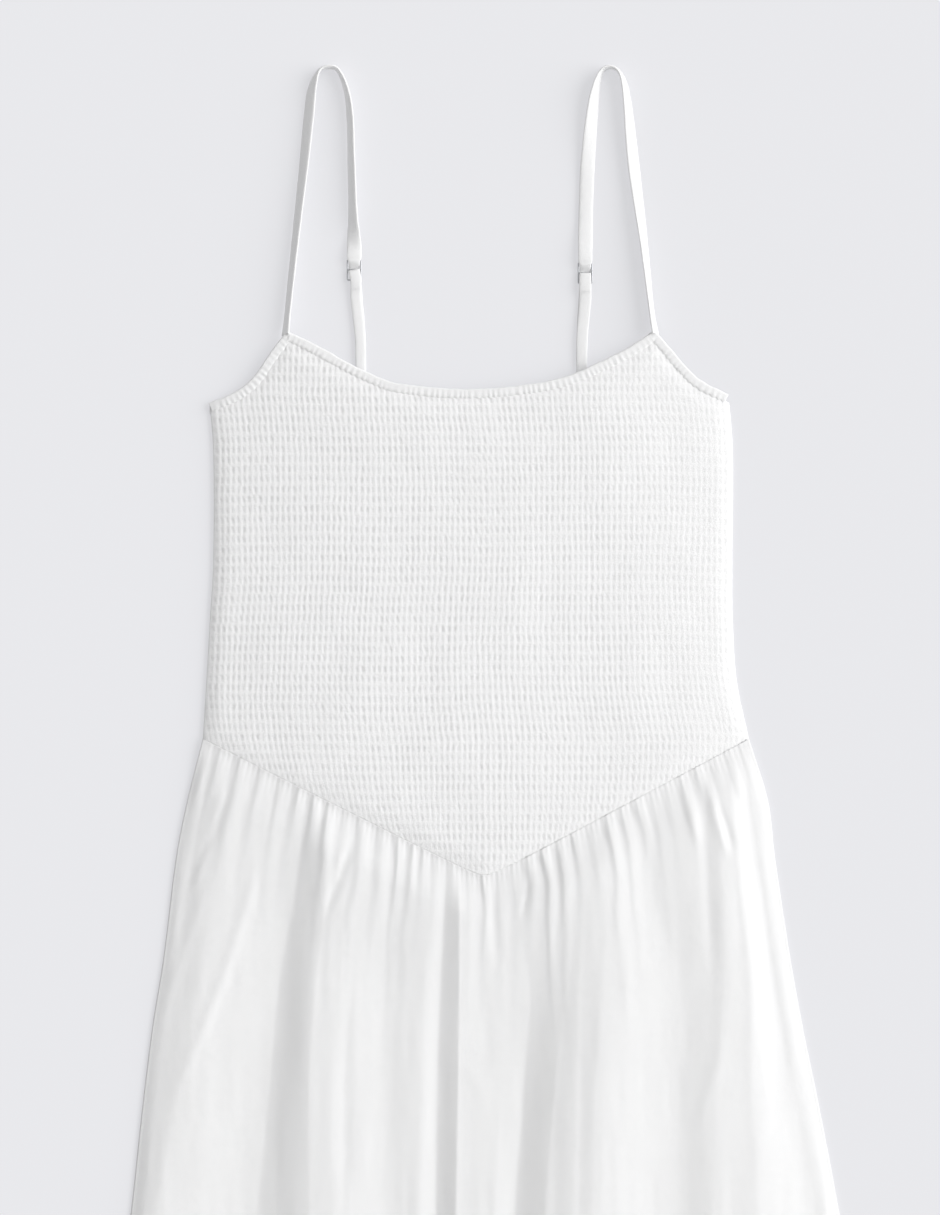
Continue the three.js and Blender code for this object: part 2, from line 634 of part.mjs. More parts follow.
// The strap over the shoulder bend, over the slider's top bar, under its middle bar and
// down to the back neckline
function strap({ rows, slider: ring, footX, turn }) {
  const bar = (SLIDER.length - SLIDER.rail) / 2;
  const loop = rows.map(({ x, y, tilt, lift }) => {
    return { x, y, z: halfHeight(tilt, STRAP_WIDTH) + lift, tilt, width: STRAP_WIDTH };
  });
  const below = { z: UNDER_Z, tilt: 180 };
  const route = [
    ...loop,
    { x: ring.x, y: ring.y + bar + 8, z: OVER_Z - 0.5, tilt: 176, width: STRAP_WIDTH },
    { x: ring.x, y: ring.y + bar, z: OVER_Z, tilt: 180, width: STRAP_WIDTH },
    { x: ring.x, y: ring.y + bar - 1.6, z: OVER_Z - 0.15, tilt: 180, width: WIDTH_IN_WINDOW },
    { x: ring.x, y: ring.y + 1.4, z: UNDER_Z + 0.15, tilt: 180, width: WIDTH_IN_WINDOW },
    { x: ring.x, y: ring.y - 1, ...below, width: WIDTH_IN_WINDOW },
    { x: ring.x, y: ring.y - bar - 4, ...below, width: WIDTH_BELOW_SLIDER },
    { x: footX, y: 250, ...below, width: lerp(WIDTH_BELOW_SLIDER, WIDTH_AT_FOOT, 0.5) },
    { x: footX, y: BACK_NECK_Y + SEAM_GAP, ...below, width: WIDTH_AT_FOOT },
  ];
  return tapeThrough(route, STRAP_SECTIONS, turn);
}

// The strap's end that comes back up from the neckline and is sewn round the slider's bar
function strapReturn({ slider: ring, footX }) {
  const bar = (SLIDER.length - SLIDER.rail) / 2;
  const low = { z: RETURN_Z, tilt: 0 };
  const route = [
    { x: ring.x, y: ring.y, z: OVER_Z, tilt: 0, width: WIDTH_IN_WINDOW },
    { x: ring.x, y: ring.y - bar, z: OVER_Z, tilt: 0, width: WIDTH_BELOW_SLIDER },
    { x: ring.x, y: ring.y - bar - 4, z: OVER_Z - 0.3, tilt: 0, width: WIDTH_BELOW_SLIDER },
    { x: ring.x, y: ring.y - bar - 12, ...low, width: WIDTH_BELOW_SLIDER },
    { x: footX, y: 250, ...low, width: lerp(WIDTH_BELOW_SLIDER, WIDTH_AT_FOOT, 0.5) },
    { x: footX, y: BACK_NECK_Y + SEAM_GAP, ...low, width: WIDTH_AT_FOOT },
  ];
  return tapeThrough(route, 15, 1);
}

const dress = new THREE.Group();

function add(name, geometry, material) {
  const mesh = new THREE.Mesh(geometry, material);
  mesh.name = name;
  dress.add(mesh);
}

const neckline = [BINDINGS.left, BINDINGS.right].reduce(
  (solid, binding) => solid.subtract(bindingCutter(binding, SEAM_GAP, SEAM_GAP)),
  edgeBinding(BINDINGS.neck),
);

add("bodice_front", toGeometry(bodiceFront()), SMOCKED_COTTON);
add("bodice_back", toGeometry(bodiceBack()), SMOCKED_COTTON);
add("armhole_binding_left", toGeometry(edgeBinding(BINDINGS.left)), COTTON);
add("armhole_binding_right", toGeometry(edgeBinding(BINDINGS.right)), COTTON);
add("neckline_binding", toGeometry(neckline), COTTON);
add("back_neck_binding", toGeometry(backNeckBinding()), COTTON);
add("skirt_front", toGeometry(skirtFront()), COTTON);
add("skirt_back", toGeometry(skirtBack()), COTTON);
add("strap_left", strap(STRAPS.left), COTTON);
add("strap_right", strap(STRAPS.right), COTTON);
add("strap_return_left", strapReturn(STRAPS.left), COTTON);
add("strap_return_right", strapReturn(STRAPS.right), COTTON);
add("slider_left", slider(STRAPS.left.slider), STEEL);
add("slider_right", slider(STRAPS.right.slider), STEEL);

export default dress;
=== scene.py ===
"""A white sleeveless dress with thin adjustable straps, laid out flat and face up.

The bodice is smocked all over and ends in a V below the waist. A gathered skirt hangs
from the V. Sizes are in millimetres in the dress's own frame: +X to the picture's right,
+Y from hem to straps and +Z up, with the origin on the surface that the dress lies on.
Meshes are written in metres.
"""

import logging
import math
from dataclasses import dataclass
from enum import Enum
from typing import Callable, Sequence

import bmesh
import bpy
import numpy as np
from mathutils.geometry import delaunay_2d_cdt
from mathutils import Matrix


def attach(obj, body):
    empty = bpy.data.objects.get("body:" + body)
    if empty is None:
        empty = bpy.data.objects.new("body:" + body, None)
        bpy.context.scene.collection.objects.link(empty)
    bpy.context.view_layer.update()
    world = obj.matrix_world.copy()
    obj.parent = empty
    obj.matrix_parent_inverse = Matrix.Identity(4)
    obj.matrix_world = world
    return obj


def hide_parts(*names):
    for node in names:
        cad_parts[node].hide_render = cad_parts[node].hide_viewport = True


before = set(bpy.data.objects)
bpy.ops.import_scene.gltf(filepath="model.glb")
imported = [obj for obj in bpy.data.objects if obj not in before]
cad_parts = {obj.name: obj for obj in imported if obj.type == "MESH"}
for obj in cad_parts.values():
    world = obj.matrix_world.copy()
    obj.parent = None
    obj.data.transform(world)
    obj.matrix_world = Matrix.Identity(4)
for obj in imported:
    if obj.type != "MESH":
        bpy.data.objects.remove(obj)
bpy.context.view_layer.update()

LOG = logging.getLogger("dress")
MM = 0.001
BODY = "root"
Array = np.ndarray
Socket = bpy.types.NodeSocket


class Held(Enum):
    """How a sheet of cloth is held."""

    GATHERED = "gathered"
    FOLDED = "folded"


class Finish(Enum):
    """The record's material slots."""

    COTTON = "cotton"
    SMOCKED = "smocked_cotton"
    METAL = "slider_metal"


class Side(Enum):
    """A side of the dress as the picture shows it, with the way its strap turns."""

    LEFT = -1
    RIGHT = 1


def lerp(low: Array, high: Array, share: Array) -> Array:
    """Value that lies a share of the way from low to high."""
    return low + (high - low) * share


def smoothstep(value: Array, low: float, high: float) -> Array:
    """Rise from 0 at low to 1 at high with level ends."""
    t = np.clip((value - low) / (high - low), 0.0, 1.0)
    return t * t * (3.0 - 2.0 * t)


def smooth_through(places: Sequence[float], values: Sequence[float], at: Array) -> Array:
    """Reads a smooth curve through the rows of a table.

    Args:
        places: rising places of the rows.
        values: the value in each row.
        at: places to read, held at the table's ends beyond them.

    Returns:
        The curve's value at each place.
    """
    places = np.asarray(places, float)
    values = np.asarray(values, float)
    before = np.concatenate([[0], np.arange(len(places) - 1)])
    after = np.concatenate([np.arange(1, len(places)), [len(places) - 1]])
    slopes = (values[after] - values[before]) / (places[after] - places[before])
    at = np.asarray(at, float)
    i = np.clip(np.searchsorted(places, at) - 1, 0, len(places) - 2)
    span = places[i + 1] - places[i]
    t = np.clip((at - places[i]) / span, 0.0, 1.0)
    start = (2 * t**3 - 3 * t**2 + 1) * values[i] + (t**3 - 2 * t**2 + t) * slopes[i] * span
    end = (3 * t**2 - 2 * t**3) * values[i + 1] + (t**3 - t**2) * slopes[i + 1] * span
    return start + end


def spline(points: Sequence[Sequence[float]], per_span: int = 24) -> Array:
    """Samples a smooth curve through points.

    Args:
        points: the rows that the curve passes through.
        per_span: steps between two rows.

    Returns:
        Points along the curve, one row each.
    """
    rows = np.asarray(points, float)
    chord = np.linalg.norm(np.diff(rows, axis=0), axis=1)
    knots = np.concatenate([[0], np.cumsum(np.sqrt(chord))])
    at = np.concatenate(
        [np.linspace(a, b, per_span, endpoint=False) for a, b in zip(knots[:-1], knots[1:])]
    )
    at = np.append(at, knots[-1])
    return np.stack([smooth_through(knots, rows[:, c], at) for c in range(rows.shape[1])], axis=1)


def even_steps(path: Array, step: float) -> Array:
    """Walks a path in equal steps.

    Args:
        path: points along the path.
        step: the wanted step in millimetres.

    Returns:
        Points that lie an equal length apart, ends included.
    """
    along = np.concatenate([[0], np.cumsum(np.linalg.norm(np.diff(path, axis=0), axis=1))])
    count = max(2, int(round(along[-1] / step)))
    at = np.linspace(0, along[-1], count + 1)
    return np.stack([np.interp(at, along, path[:, c]) for c in range(path.shape[1])], axis=1)


def tangents(path: Array) -> Array:
    """Unit direction of a path at each of its points."""
    steps = np.gradient(path, axis=0)
    return steps / np.linalg.norm(steps, axis=1, keepdims=True)


class Unevenness:
    """Smooth seeded noise over the plane, between -1 and 1."""

    def __init__(self, seed: int, cells: int = 64) -> None:
        """Draws the noise's lattice.

        Args:
            seed: number that fixes the draw.
            cells: lattice points each way before the noise repeats.
        """
        self.lattice = np.random.default_rng(seed).uniform(-1, 1, (cells, cells))
        self.cells = cells

    def at(self, x: Array, y: Array) -> Array:
        """Reads the noise.

        Args:
            x: places across, one lattice cell to a unit.
            y: places along, one lattice cell to a unit.

        Returns:
            A smooth value at each place.
        """
        x, y = np.broadcast_arrays(np.asarray(x, float), np.asarray(y, float))
        i, j = np.floor(x).astype(int), np.floor(y).astype(int)
        s, t = smoothstep(x - i, 0, 1), smoothstep(y - j, 0, 1)
        low = lerp(self.corner(i, j), self.corner(i + 1, j), s)
        high = lerp(self.corner(i, j + 1), self.corner(i + 1, j + 1), s)
        return lerp(low, high, t)

    def corner(self, i: Array, j: Array) -> Array:
        """Value at points of the lattice, which repeats."""
        return self.lattice[i % self.cells, j % self.cells]


@dataclass(frozen=True)
class Shape:
    """A mesh in millimetres.

    points are its vertices, faces its faces, and cut, where it has one, the place of each
    face corner on the flat cloth, in the order of the faces' corners.
    """

    points: Array
    faces: list
    cut: Array | None = None


def corner_cut(faces: list, cut: Array) -> Array:
    """Spreads a place on the flat cloth for each vertex to the corners of the faces."""
    return cut[np.concatenate([np.asarray(face) for face in faces])]


def make_piece(name: str, shape: Shape, material: bpy.types.Material) -> bpy.types.Object:
    """Makes a closed piece of the dress.

    Args:
        name: the piece's name.
        shape: its mesh in millimetres.
        material: its material.

    Returns:
        The new object, with its faces outward and shaded smooth.
    """
    mesh = bpy.data.meshes.new(name)
    mesh.from_pydata((shape.points * MM).tolist(), [], [list(map(int, f)) for f in shape.faces])
    if shape.cut is not None:
        layer = mesh.uv_layers.new(name="cut")
        layer.data.foreach_set("uv", (shape.cut * MM).astype(np.float32).ravel())
    mesh.materials.append(material)
    piece = bpy.data.objects.new(name, mesh)
    bpy.context.collection.objects.link(piece)
    face_outward(mesh)
    return piece


def face_outward(mesh: bpy.types.Mesh) -> None:
    """Turns a closed mesh right side out and shades it smooth.

    Args:
        mesh: the closed mesh.
    """
    solid = bmesh.new()
    solid.from_mesh(mesh)
    inside_out = solid.calc_volume(signed=True) < 0
    solid.free()
    if inside_out:
        mesh.flip_normals()
    mesh.shade_smooth()


def plain_mesh(piece: bpy.types.Object) -> None:
    """Makes the result of a piece's modifiers its own mesh and removes them.

    Args:
        piece: the object whose modifiers are applied.
    """
    result = piece.evaluated_get(bpy.context.evaluated_depsgraph_get())
    made = bpy.data.meshes.new_from_object(result)
    made.name = piece.name
    piece.modifiers.clear()
    piece.data = made


def seat(piece: bpy.types.Object, finish: Finish, *nodes: str) -> None:
    """Lets a piece ride with the dress in place of its solids.

    Args:
        piece: the finished piece.
        finish: a material slot; not used.
        nodes: the solids that it stands for.
    """
    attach(piece, BODY)
    if nodes:
        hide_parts(*nodes)
    LOG.info("%s: %d faces", piece.name, len(piece.data.polygons))


def grid_faces(columns: int, rows: int, start: int = 0) -> Array:
    """Quads of a grid whose points run along +X within each row, and rows along +Y.

    Args:
        columns: quads across.
        rows: quads along.
        start: number of the grid's first point.

    Returns:
        Four point numbers a quad.
    """
    i, j = np.meshgrid(np.arange(columns), np.arange(rows))
    a = (start + i + j * (columns + 1)).ravel()
    return np.stack([a, a + 1, a + columns + 2, a + columns + 1], axis=1)


def grid_shell(upper: Array, lower: Array, cut: Array) -> Shape:
    """Closes two grids of points into a shell.

    Args:
        upper: outer points, rows along +Y by columns along +X by 3.
        lower: the inner points, in the same order.
        cut: place on the flat cloth of each point of one grid.

    Returns:
        The closed shell.
    """
    rows, columns = upper.shape[0] - 1, upper.shape[1] - 1
    layer = (rows + 1) * (columns + 1)
    top = grid_faces(columns, rows)
    bottom = grid_faces(columns, rows, layer)[:, ::-1]
    index = np.arange(layer).reshape(rows + 1, columns + 1)
    rim = np.concatenate([index[0, :-1], index[:-1, -1], index[-1, :0:-1], index[:0:-1, 0]])
    onward = np.roll(rim, -1)
    wall = np.stack([onward, rim, rim + layer, onward + layer], axis=1)
    faces = np.concatenate([top, bottom, wall]).tolist()
    points = np.concatenate([upper.reshape(-1, 3), lower.reshape(-1, 3)])
    both = np.concatenate([cut.reshape(-1, 2), cut.reshape(-1, 2)])
    return Shape(points, faces, corner_cut(faces, both))


def grid_normals(grid: Array) -> Array:
    """Unit normals of a grid of points, rows along +Y and columns along +X."""
    normal = np.cross(np.gradient(grid, axis=1), np.gradient(grid, axis=0))
    return normal / np.maximum(np.linalg.norm(normal, axis=2, keepdims=True), 1e-9)


def rim_of(faces: list) -> list[int]:
    """Vertices round the open rim of a mesh, in order.

    Args:
        faces: the mesh's faces.

    Returns:
        The rim's vertices, once round.
    """
    sides = {(f[k], f[(k + 1) % len(f)]) for f in faces for k in range(len(f))}
    onward = {a: b for a, b in sides if (b, a) not in sides}
    start = min(onward)
    rim = [start]
    while onward[rim[-1]] != start:
        rim.append(onward[rim[-1]])
    return rim


def closed_below(points: Array, faces: list, cut: Array,
                 inner: Callable[[Array, Array], Array], spacing: float) -> Shape:
    """Closes a finely shaped cloth surface with a plain inside.

    Args:
        points: the outer surface's points.
        faces: its faces, seen from above.
        cut: place on the flat cloth of each point.
        inner: height of the plain inside at x and y.
        spacing: distance between the inside's points.

    Returns:
        The closed shape, whose inside shares the outer surface's rim.
    """
    rim = rim_of(faces)
    border = points[rim, :2]
    low, high = border.min(axis=0), border.max(axis=0)
    x, y = np.meshgrid(np.arange(low[0], high[0], spacing), np.arange(low[1], high[1], spacing))
    field = np.stack([x.ravel(), y.ravel()], axis=1)
    flat = np.concatenate([border, field])
    edges = [(k, (k + 1) % len(rim)) for k in range(len(rim))]
    made = delaunay_2d_cdt([tuple(p) for p in flat.tolist()], edges, [], 1, 1e-6)
    below_xy = np.array([tuple(p) for p in made[0]])
    below = np.column_stack([below_xy, inner(below_xy[:, 0], below_xy[:, 1])])
    start = len(points)
    place = {}
    for new, old in enumerate(made[3]):
        for source in old:
            place[source] = new
    inside = [tuple(start + v for v in reversed(face)) for face in made[2]]
    wall = []
    for k, a in enumerate(rim):
        b = rim[(k + 1) % len(rim)]
        wall.append((b, a, start + place[k], start + place[(k + 1) % len(rim)]))
    faces = list(faces) + inside + wall
    every = np.concatenate([points, below])
    scale = (cut.max(axis=0) - cut.min(axis=0)) / (points.max(axis=0) - points.min(axis=0))[:2]
    below_cut = cut.min(axis=0) + (below_xy - points.min(axis=0)[:2]) * scale
    return Shape(every, faces, corner_cut(faces, np.concatenate([cut, below_cut])))


def swept(path: Array, across: Array, outward: Array, loops: Sequence[Array]) -> Shape:
    """Sweeps a section along a path.

    Args:
        path: middle of the section at each step.
        across: unit direction of the section's first axis at each step.
        outward: unit direction of its second axis.
        loops: one closed section for a solid strip, or an outer and an inner one for a
            hollow one, each steps by points by 2.

    Returns:
        The closed shape.
    """
    steps = len(path)
    along = np.concatenate([[0], np.cumsum(np.linalg.norm(np.diff(path, axis=0), axis=1))])
    points, faces, cut, start = [], [], [], 0
    for order, loop in enumerate(loops):
        sides = loop.shape[1]
        place = path[:, None] + across[:, None] * loop[..., :1] + outward[:, None] * loop[..., 1:]
        points.append(place.reshape(-1, 3))
        lengths = np.linalg.norm(np.roll(loop[0], -1, axis=0) - loop[0], axis=1)
        round_it = np.concatenate([[0], np.cumsum(lengths)])
        for k in range(steps - 1):
            for s in range(sides):
                a, b = start + k * sides + s, start + k * sides + (s + 1) % sides
                face = (a, b, b + sides, a + sides)
                corners = [(s, k), (s + 1, k), (s + 1, k + 1), (s, k + 1)]
                if order:
                    face, corners = face[::-1], corners[::-1]
                faces.append(face)
                cut.extend((round_it[c], along[r]) for c, r in corners)
        start += steps * sides
    for end in (0, steps - 1):
        caps = section_caps([loop.shape[1] for loop in loops], steps, end)
        faces.extend(caps)
        cut.extend((0.0, along[end]) for cap in caps for _ in cap)
    return Shape(np.concatenate(points), faces, np.array(cut))


def section_caps(sides: Sequence[int], steps: int, end: int) -> list:
    """Faces that close one end of a swept strip.

    Args:
        sides: points in each of its loops.
        steps: steps along the strip.
        end: the step that is closed, the first or the last.

    Returns:
        The faces, facing away from the strip.
    """
    first = end * sides[0]
    outer = [first + s for s in range(sides[0])]
    if len(sides) == 1:
        return [tuple(outer) if end else tuple(reversed(outer))]
    inner = [steps * sides[0] + end * sides[1] + s for s in range(sides[1])]
    faces = []
    for s in range(sides[0]):
        t = (s + 1) % sides[0]
        face = (outer[s], outer[t], inner[t], inner[s])
        faces.append(face if end else face[::-1])
    return faces


@dataclass(frozen=True)
class Pattern:
    """The dress's flat outline and the levels at which its layers lie."""

    waist_y: float = -23.5
    point_x: float = -1.4
    point_y: float = -116.8
    point_round: float = 6.0
    hem_y: float = -440.0
    hem_rise: float = 5.0
    back_neck_y: float = 207.0
    back_wall: float = 2.0
    seam_gap: float = 0.3
    lift: float = 7.0
    side_drop: float = 0.8
    side_reach: float = 7.0
    skirt_lift: float = 3.0
    skirt_level: float = 1.8
    seam_rise: float = 0.85
    settled_at: float = 110.0
    side_levels: tuple = (-435.0, -353.0, -283.0, -222.0, -175.0, -105.0, -66.0, -23.5)
    side_left: tuple = (-256.0, -245.6, -238.0, -230.5, -222.9, -214.1, -206.4, -195.6)
    side_right: tuple = (256.0, 243.6, 230.5, 218.0, 209.5, 198.8, 194.0, 180.8)
    bodice_levels: tuple = (-23.5, 16.0, 58.0, 99.0, 175.0, 214.0)
    bodice_left: tuple = (-195.6, -193.2, -190.8, -188.4, -188.4, -191.5)
    bodice_right: tuple = (180.8, 172.5, 169.7, 169.4, 169.7, 166.8)
    neckline: tuple = (
        (-137.5, 257.5), (-119.8, 248.9), (-85.4, 230.5), (-59.1, 220.8), (-12.0, 217.2),
        (34.8, 221.3), (61.3, 228.5), (98.3, 246.3), (115.0, 258.0),
    )
    armhole_left: tuple = (
        (-191.5, 208.0), (-173.9, 215.3), (-160.8, 225.1), (-148.8, 242.3), (-137.5, 257.5),
    )
    armhole_right: tuple = (
        (115.0, 258.0), (124.6, 247.6), (133.9, 236.5), (147.0, 223.8), (166.8, 213.9),
    )

    def bodice_sides(self, y: Array) -> tuple[Array, Array]:
        """Left and right edge of the bodice at a level."""
        left = smooth_through(self.bodice_levels, self.bodice_left, y)
        return left, smooth_through(self.bodice_levels, self.bodice_right, y)

    def skirt_sides(self, y: Array) -> tuple[Array, Array]:
        """Left and right edge of the skirt at a level."""
        left = smooth_through(self.side_levels, self.side_left, y)
        return left, smooth_through(self.side_levels, self.side_right, y)

    def seam(self, x: Array) -> Array:
        """Place of the V seam along the dress.

        Args:
            x: places across.

        Returns:
            The seam's y at each place.
        """
        reach = np.asarray(x, float) - self.point_x
        end = np.where(reach < 0, self.bodice_left[0], self.bodice_right[0]) - self.point_x
        soft = self.point_round
        climb = (self.waist_y - self.point_y) / (np.hypot(end, soft) - soft)
        return self.point_y + climb * (np.hypot(reach, soft) - soft)

    def across(self, x: Array, y: Array) -> Array:
        """Share of the bodice's width at x, from 0 at its left edge to 1 at its right."""
        left, right = self.bodice_sides(y)
        return np.clip((x - left) / (right - left), 0.0, 1.0)

    def inner(self, x: Array, y: Array) -> Array:
        """Height of the inside of the bodice's front, which comes down at its sides.

        Args:
            x: places across.
            y: places along.

        Returns:
            The height at each place.
        """
        left, right = self.bodice_sides(y)
        beside = np.clip(np.minimum(x - left, right - x), 0, None)
        down = self.side_drop * np.exp(-((beside / self.side_reach) ** 2))
        return self.back_wall + self.seam_gap - down + self.lift * self.crown(self.across(x, y))

    def crown(self, u: Array) -> Array:
        """Share of the bodice's lift at a share across."""
        return 1 - np.abs(2 * u - 1) ** 3

    def skirt_base(self, u: Array, drop: Array) -> Array:
        """Height of the skirt's front before its folds.

        Args:
            u: share across.
            drop: distance below the V seam.

        Returns:
            The height of its inside, which leaves the seam at the bodice's own height.
        """
        settled = smoothstep(drop, 0, self.settled_at)
        flat = self.skirt_lift * (1 - np.abs(2 * u - 1) ** 4)
        at_seam = self.lift * self.crown(u) + self.seam_rise
        return self.skirt_level + lerp(at_seam, flat, settled)

    def top_edge(self, x: Array, inset: float) -> Array:
        """Height of the front bodice's upper edge.

        Args:
            x: places across.
            inset: how far inside the real edge the line runs.

        Returns:
            The height of the line at each place.
        """
        lines = [self.edge_line(rows, inset) for rows in
                 (self.armhole_left, self.neckline, self.armhole_right)]
        heights = [np.interp(x, line[:, 0], line[:, 1], left=1e3, right=1e3) for line in lines]
        return np.minimum.reduce(heights)

    def edge_line(self, rows: Sequence[Sequence[float]], inset: float) -> Array:
        """Line beside an upper edge, run straight on past both of its ends.

        Args:
            rows: the edge's points from left to right.
            inset: distance of the line from the edge, downwards.

        Returns:
            Points along the line from left to right.
        """
        edge = spline(rows)
        way = tangents(edge)
        side = np.stack([way[:, 1], -way[:, 0]], axis=1)
        line = edge + side * inset
        past = 30.0
        line = np.concatenate([[line[0] - way[0] * past], line, [line[-1] + way[-1] * past]])
        keep = np.concatenate([[True], np.diff(np.maximum.accumulate(line[:, 0])) > 1e-6])
        return line[keep]


PATTERN = Pattern()


class Wiring:
    """Places and joins the nodes of one tree."""

    def __init__(self, tree: bpy.types.NodeTree) -> None:
        """Takes the tree that the nodes go into."""
        self.tree = tree

    def node(self, kind: str, **settings: object) -> bpy.types.Node:
        """Places a node.

        Args:
            kind: the node's type.
            settings: its own properties, by name.

        Returns:
            The new node.
        """
        made = self.tree.nodes.new(kind)
        for name, value in settings.items():
            setattr(made, name, value)
        return made

    def feed(self, target: Socket, source: object) -> None:
        """Joins a socket to a source, or sets its value.

        Args:
            target: the input socket.
            source: an output socket or a plain value.
        """
        if isinstance(source, bpy.types.NodeSocket):
            self.tree.links.new(source, target)
        else:
            target.default_value = source

    def math(self, operation: str, *terms: object) -> Socket:
        """Result of a sum of one to three sockets or numbers.

        Args:
            operation: the Math node's operation.
            terms: its terms in order.

        Returns:
            The result.
        """
        made = self.node("ShaderNodeMath", operation=operation)
        for socket, term in zip(made.inputs, terms):
            self.feed(socket, term)
        return made.outputs[0]

    def vector(self, x: object, y: object, z: object) -> Socket:
        """A vector of three sockets or numbers.

        Args:
            x: its first part.
            y: its second part.
            z: its third part.

        Returns:
            The vector.
        """
        made = self.node("ShaderNodeCombineXYZ")
        for socket, term in zip(made.inputs, (x, y, z)):
            self.feed(socket, term)
        return made.outputs[0]

    def noise(self, vector: Socket, scale: object, detail: float = 2.0) -> Socket:
        """Noise over a vector, around one half.

        Args:
            vector: the place that is read.
            scale: cells of noise a unit.
            detail: finer layers that are added.

        Returns:
            The noise.
        """
        made = self.node("ShaderNodeTexNoise")
        self.feed(made.inputs["Vector"], vector)
        self.feed(made.inputs["Scale"], scale)
        made.inputs["Detail"].default_value = detail
        return made.outputs[0]

    def range(self, value: Socket, low: float, high: float) -> Socket:
        """Spreads a value from 0..1 to low..high.

        Args:
            value: the value between 0 and 1.
            low: what 0 becomes.
            high: what 1 becomes.

        Returns:
            The spread value.
        """
        made = self.node("ShaderNodeMapRange")
        self.feed(made.inputs["Value"], value)
        made.inputs["To Min"].default_value = low
        made.inputs["To Max"].default_value = high
        return made.outputs[0]


def new_tree(name: str, kind: str, inputs: Sequence[tuple], outputs: Sequence[tuple]) -> tuple:
    """Starts a node group with named sockets.

    Args:
        name: the group's name.
        kind: ShaderNodeTree or GeometryNodeTree.
        inputs: (name, socket type, default) of each input.
        outputs: (name, socket type) of each output.

    Returns:
        The tree, its wiring, and its input and output nodes.
    """
    tree = bpy.data.node_groups.new(name, kind)
    for label, socket_type, default in inputs:
        socket = tree.interface.new_socket(name=label, in_out="INPUT", socket_type=socket_type)
        if default is not None:
            socket.default_value = default
    for label, socket_type in outputs:
        tree.interface.new_socket(name=label, in_out="OUTPUT", socket_type=socket_type)
    wiring = Wiring(tree)
    return tree, wiring, wiring.node("NodeGroupInput"), wiring.node("NodeGroupOutput")


FLOAT = "NodeSocketFloat"
VECTOR = "NodeSocketVector"
COLOUR = "NodeSocketColor"
GEOMETRY = "NodeSocketGeometry"


def thread_crown(w: Wiring, place: Socket) -> Socket:
    """Rounded back of threads that are counted by place."""
    return w.math("ABSOLUTE", w.math("SINE", w.math("MULTIPLY", place, math.pi)))


def plain_weave_group() -> bpy.types.NodeTree:
    """Threads that pass over and under each other in a plain weave.

    Returns:
        A shader group that gives the height of the weave.
    """
    tree, w, start, end = new_tree(
        "Plain weave", "ShaderNodeTree",
        [("Vector", VECTOR, None), ("Threads", FLOAT, 3200.0), ("Slub", FLOAT, 0.6)],
        [("Height", FLOAT)],
    )
    cut = w.node("ShaderNodeSeparateXYZ")
    w.feed(cut.inputs[0], start.outputs["Vector"])
    warp = w.math("MULTIPLY", cut.outputs[0], start.outputs["Threads"])
    weft = w.math("MULTIPLY", cut.outputs[1], start.outputs["Threads"])
    parity = w.math("ADD", w.math("FLOOR", warp), w.math("FLOOR", weft))
    over = w.math("PINGPONG", parity, 1.0)
    under = w.math("SUBTRACT", 1.0, over)
    weave = w.math("ADD", w.math("MULTIPLY", thread_crown(w, warp), over),
                   w.math("MULTIPLY", thread_crown(w, weft), under))
    slubs_along, slubs_across = 60.0, 900.0
    slub = w.noise(w.vector(w.math("MULTIPLY", cut.outputs[0], slubs_along),
                            w.math("MULTIPLY", cut.outputs[1], slubs_across), 0.0), 1.0)
    w.feed(end.inputs["Height"], w.math("MULTIPLY_ADD", slub, start.outputs["Slub"], weave))
    return tree


def cloth_tone_and_shade_group() -> bpy.types.NodeTree:
    """Small differences of tone that washed cotton has, with painted shade in the hollows of smocking.

    Returns:
        A shader group that gives a colour.
    """
    tree, w, start, end = new_tree(
        "Cloth tone and painted shade", "ShaderNodeTree",
        [("Vector", VECTOR, None), ("Colour", COLOUR, (0.9, 0.9, 0.9, 1.0)),
         ("Mottle", FLOAT, 0.02), ("Patch", FLOAT, 30.0), ("Hollow", FLOAT, 0.0),
         ("Hollow shade", FLOAT, 0.0)],
        [("Colour", COLOUR)],
    )
    coarse = w.noise(start.outputs["Vector"], start.outputs["Patch"], 3.0)
    shade = w.math("MULTIPLY_ADD", w.math("SUBTRACT", coarse, 0.5), start.outputs["Mottle"], 1.0)
    # painted shade: darker where the smocking's hollows sink deeper
    painted_hollow_dark = w.math("MULTIPLY", start.outputs["Hollow"], start.outputs["Hollow shade"])
    shade = w.math("SUBTRACT", shade, painted_hollow_dark)
    scaled = w.node("ShaderNodeVectorMath", operation="SCALE")
    w.feed(scaled.inputs[0], start.outputs["Colour"])
    w.feed(scaled.inputs["Scale"], shade)
    w.feed(end.inputs["Colour"], scaled.outputs[0])
    return tree


class Groups:
    """The shader groups that the materials share."""

    def __init__(self) -> None:
        """Builds each group once."""
        self.weave = plain_weave_group()
        self.tone = cloth_tone_and_shade_group()


def blank_material(name: str) -> tuple[bpy.types.Material, Wiring, bpy.types.Node]:
    """Starts a material.

    Args:
        name: the material's name.

    Returns:
        The material, its wiring and its Principled shader.
    """
    material = bpy.data.materials.new(name)
    material.use_nodes = True
    wiring = Wiring(material.node_tree)
    return material, wiring, material.node_tree.nodes["Principled BSDF"]


def toned(w: Wiring, groups: Groups, place: Socket, values: dict) -> bpy.types.Node:
    """Places the shared tone in a material.

    Args:
        w: the material's wiring.
        groups: the shared shader groups.
        place: the piece's Object coordinates.
        values: the tone's own values, by the names of its inputs.

    Returns:
        The tone's node.
    """
    tone = w.node("ShaderNodeGroup", node_tree=groups.tone)
    w.feed(tone.inputs["Vector"], place)
    for name, value in values.items():
        tone.inputs[name].default_value = value
    return tone


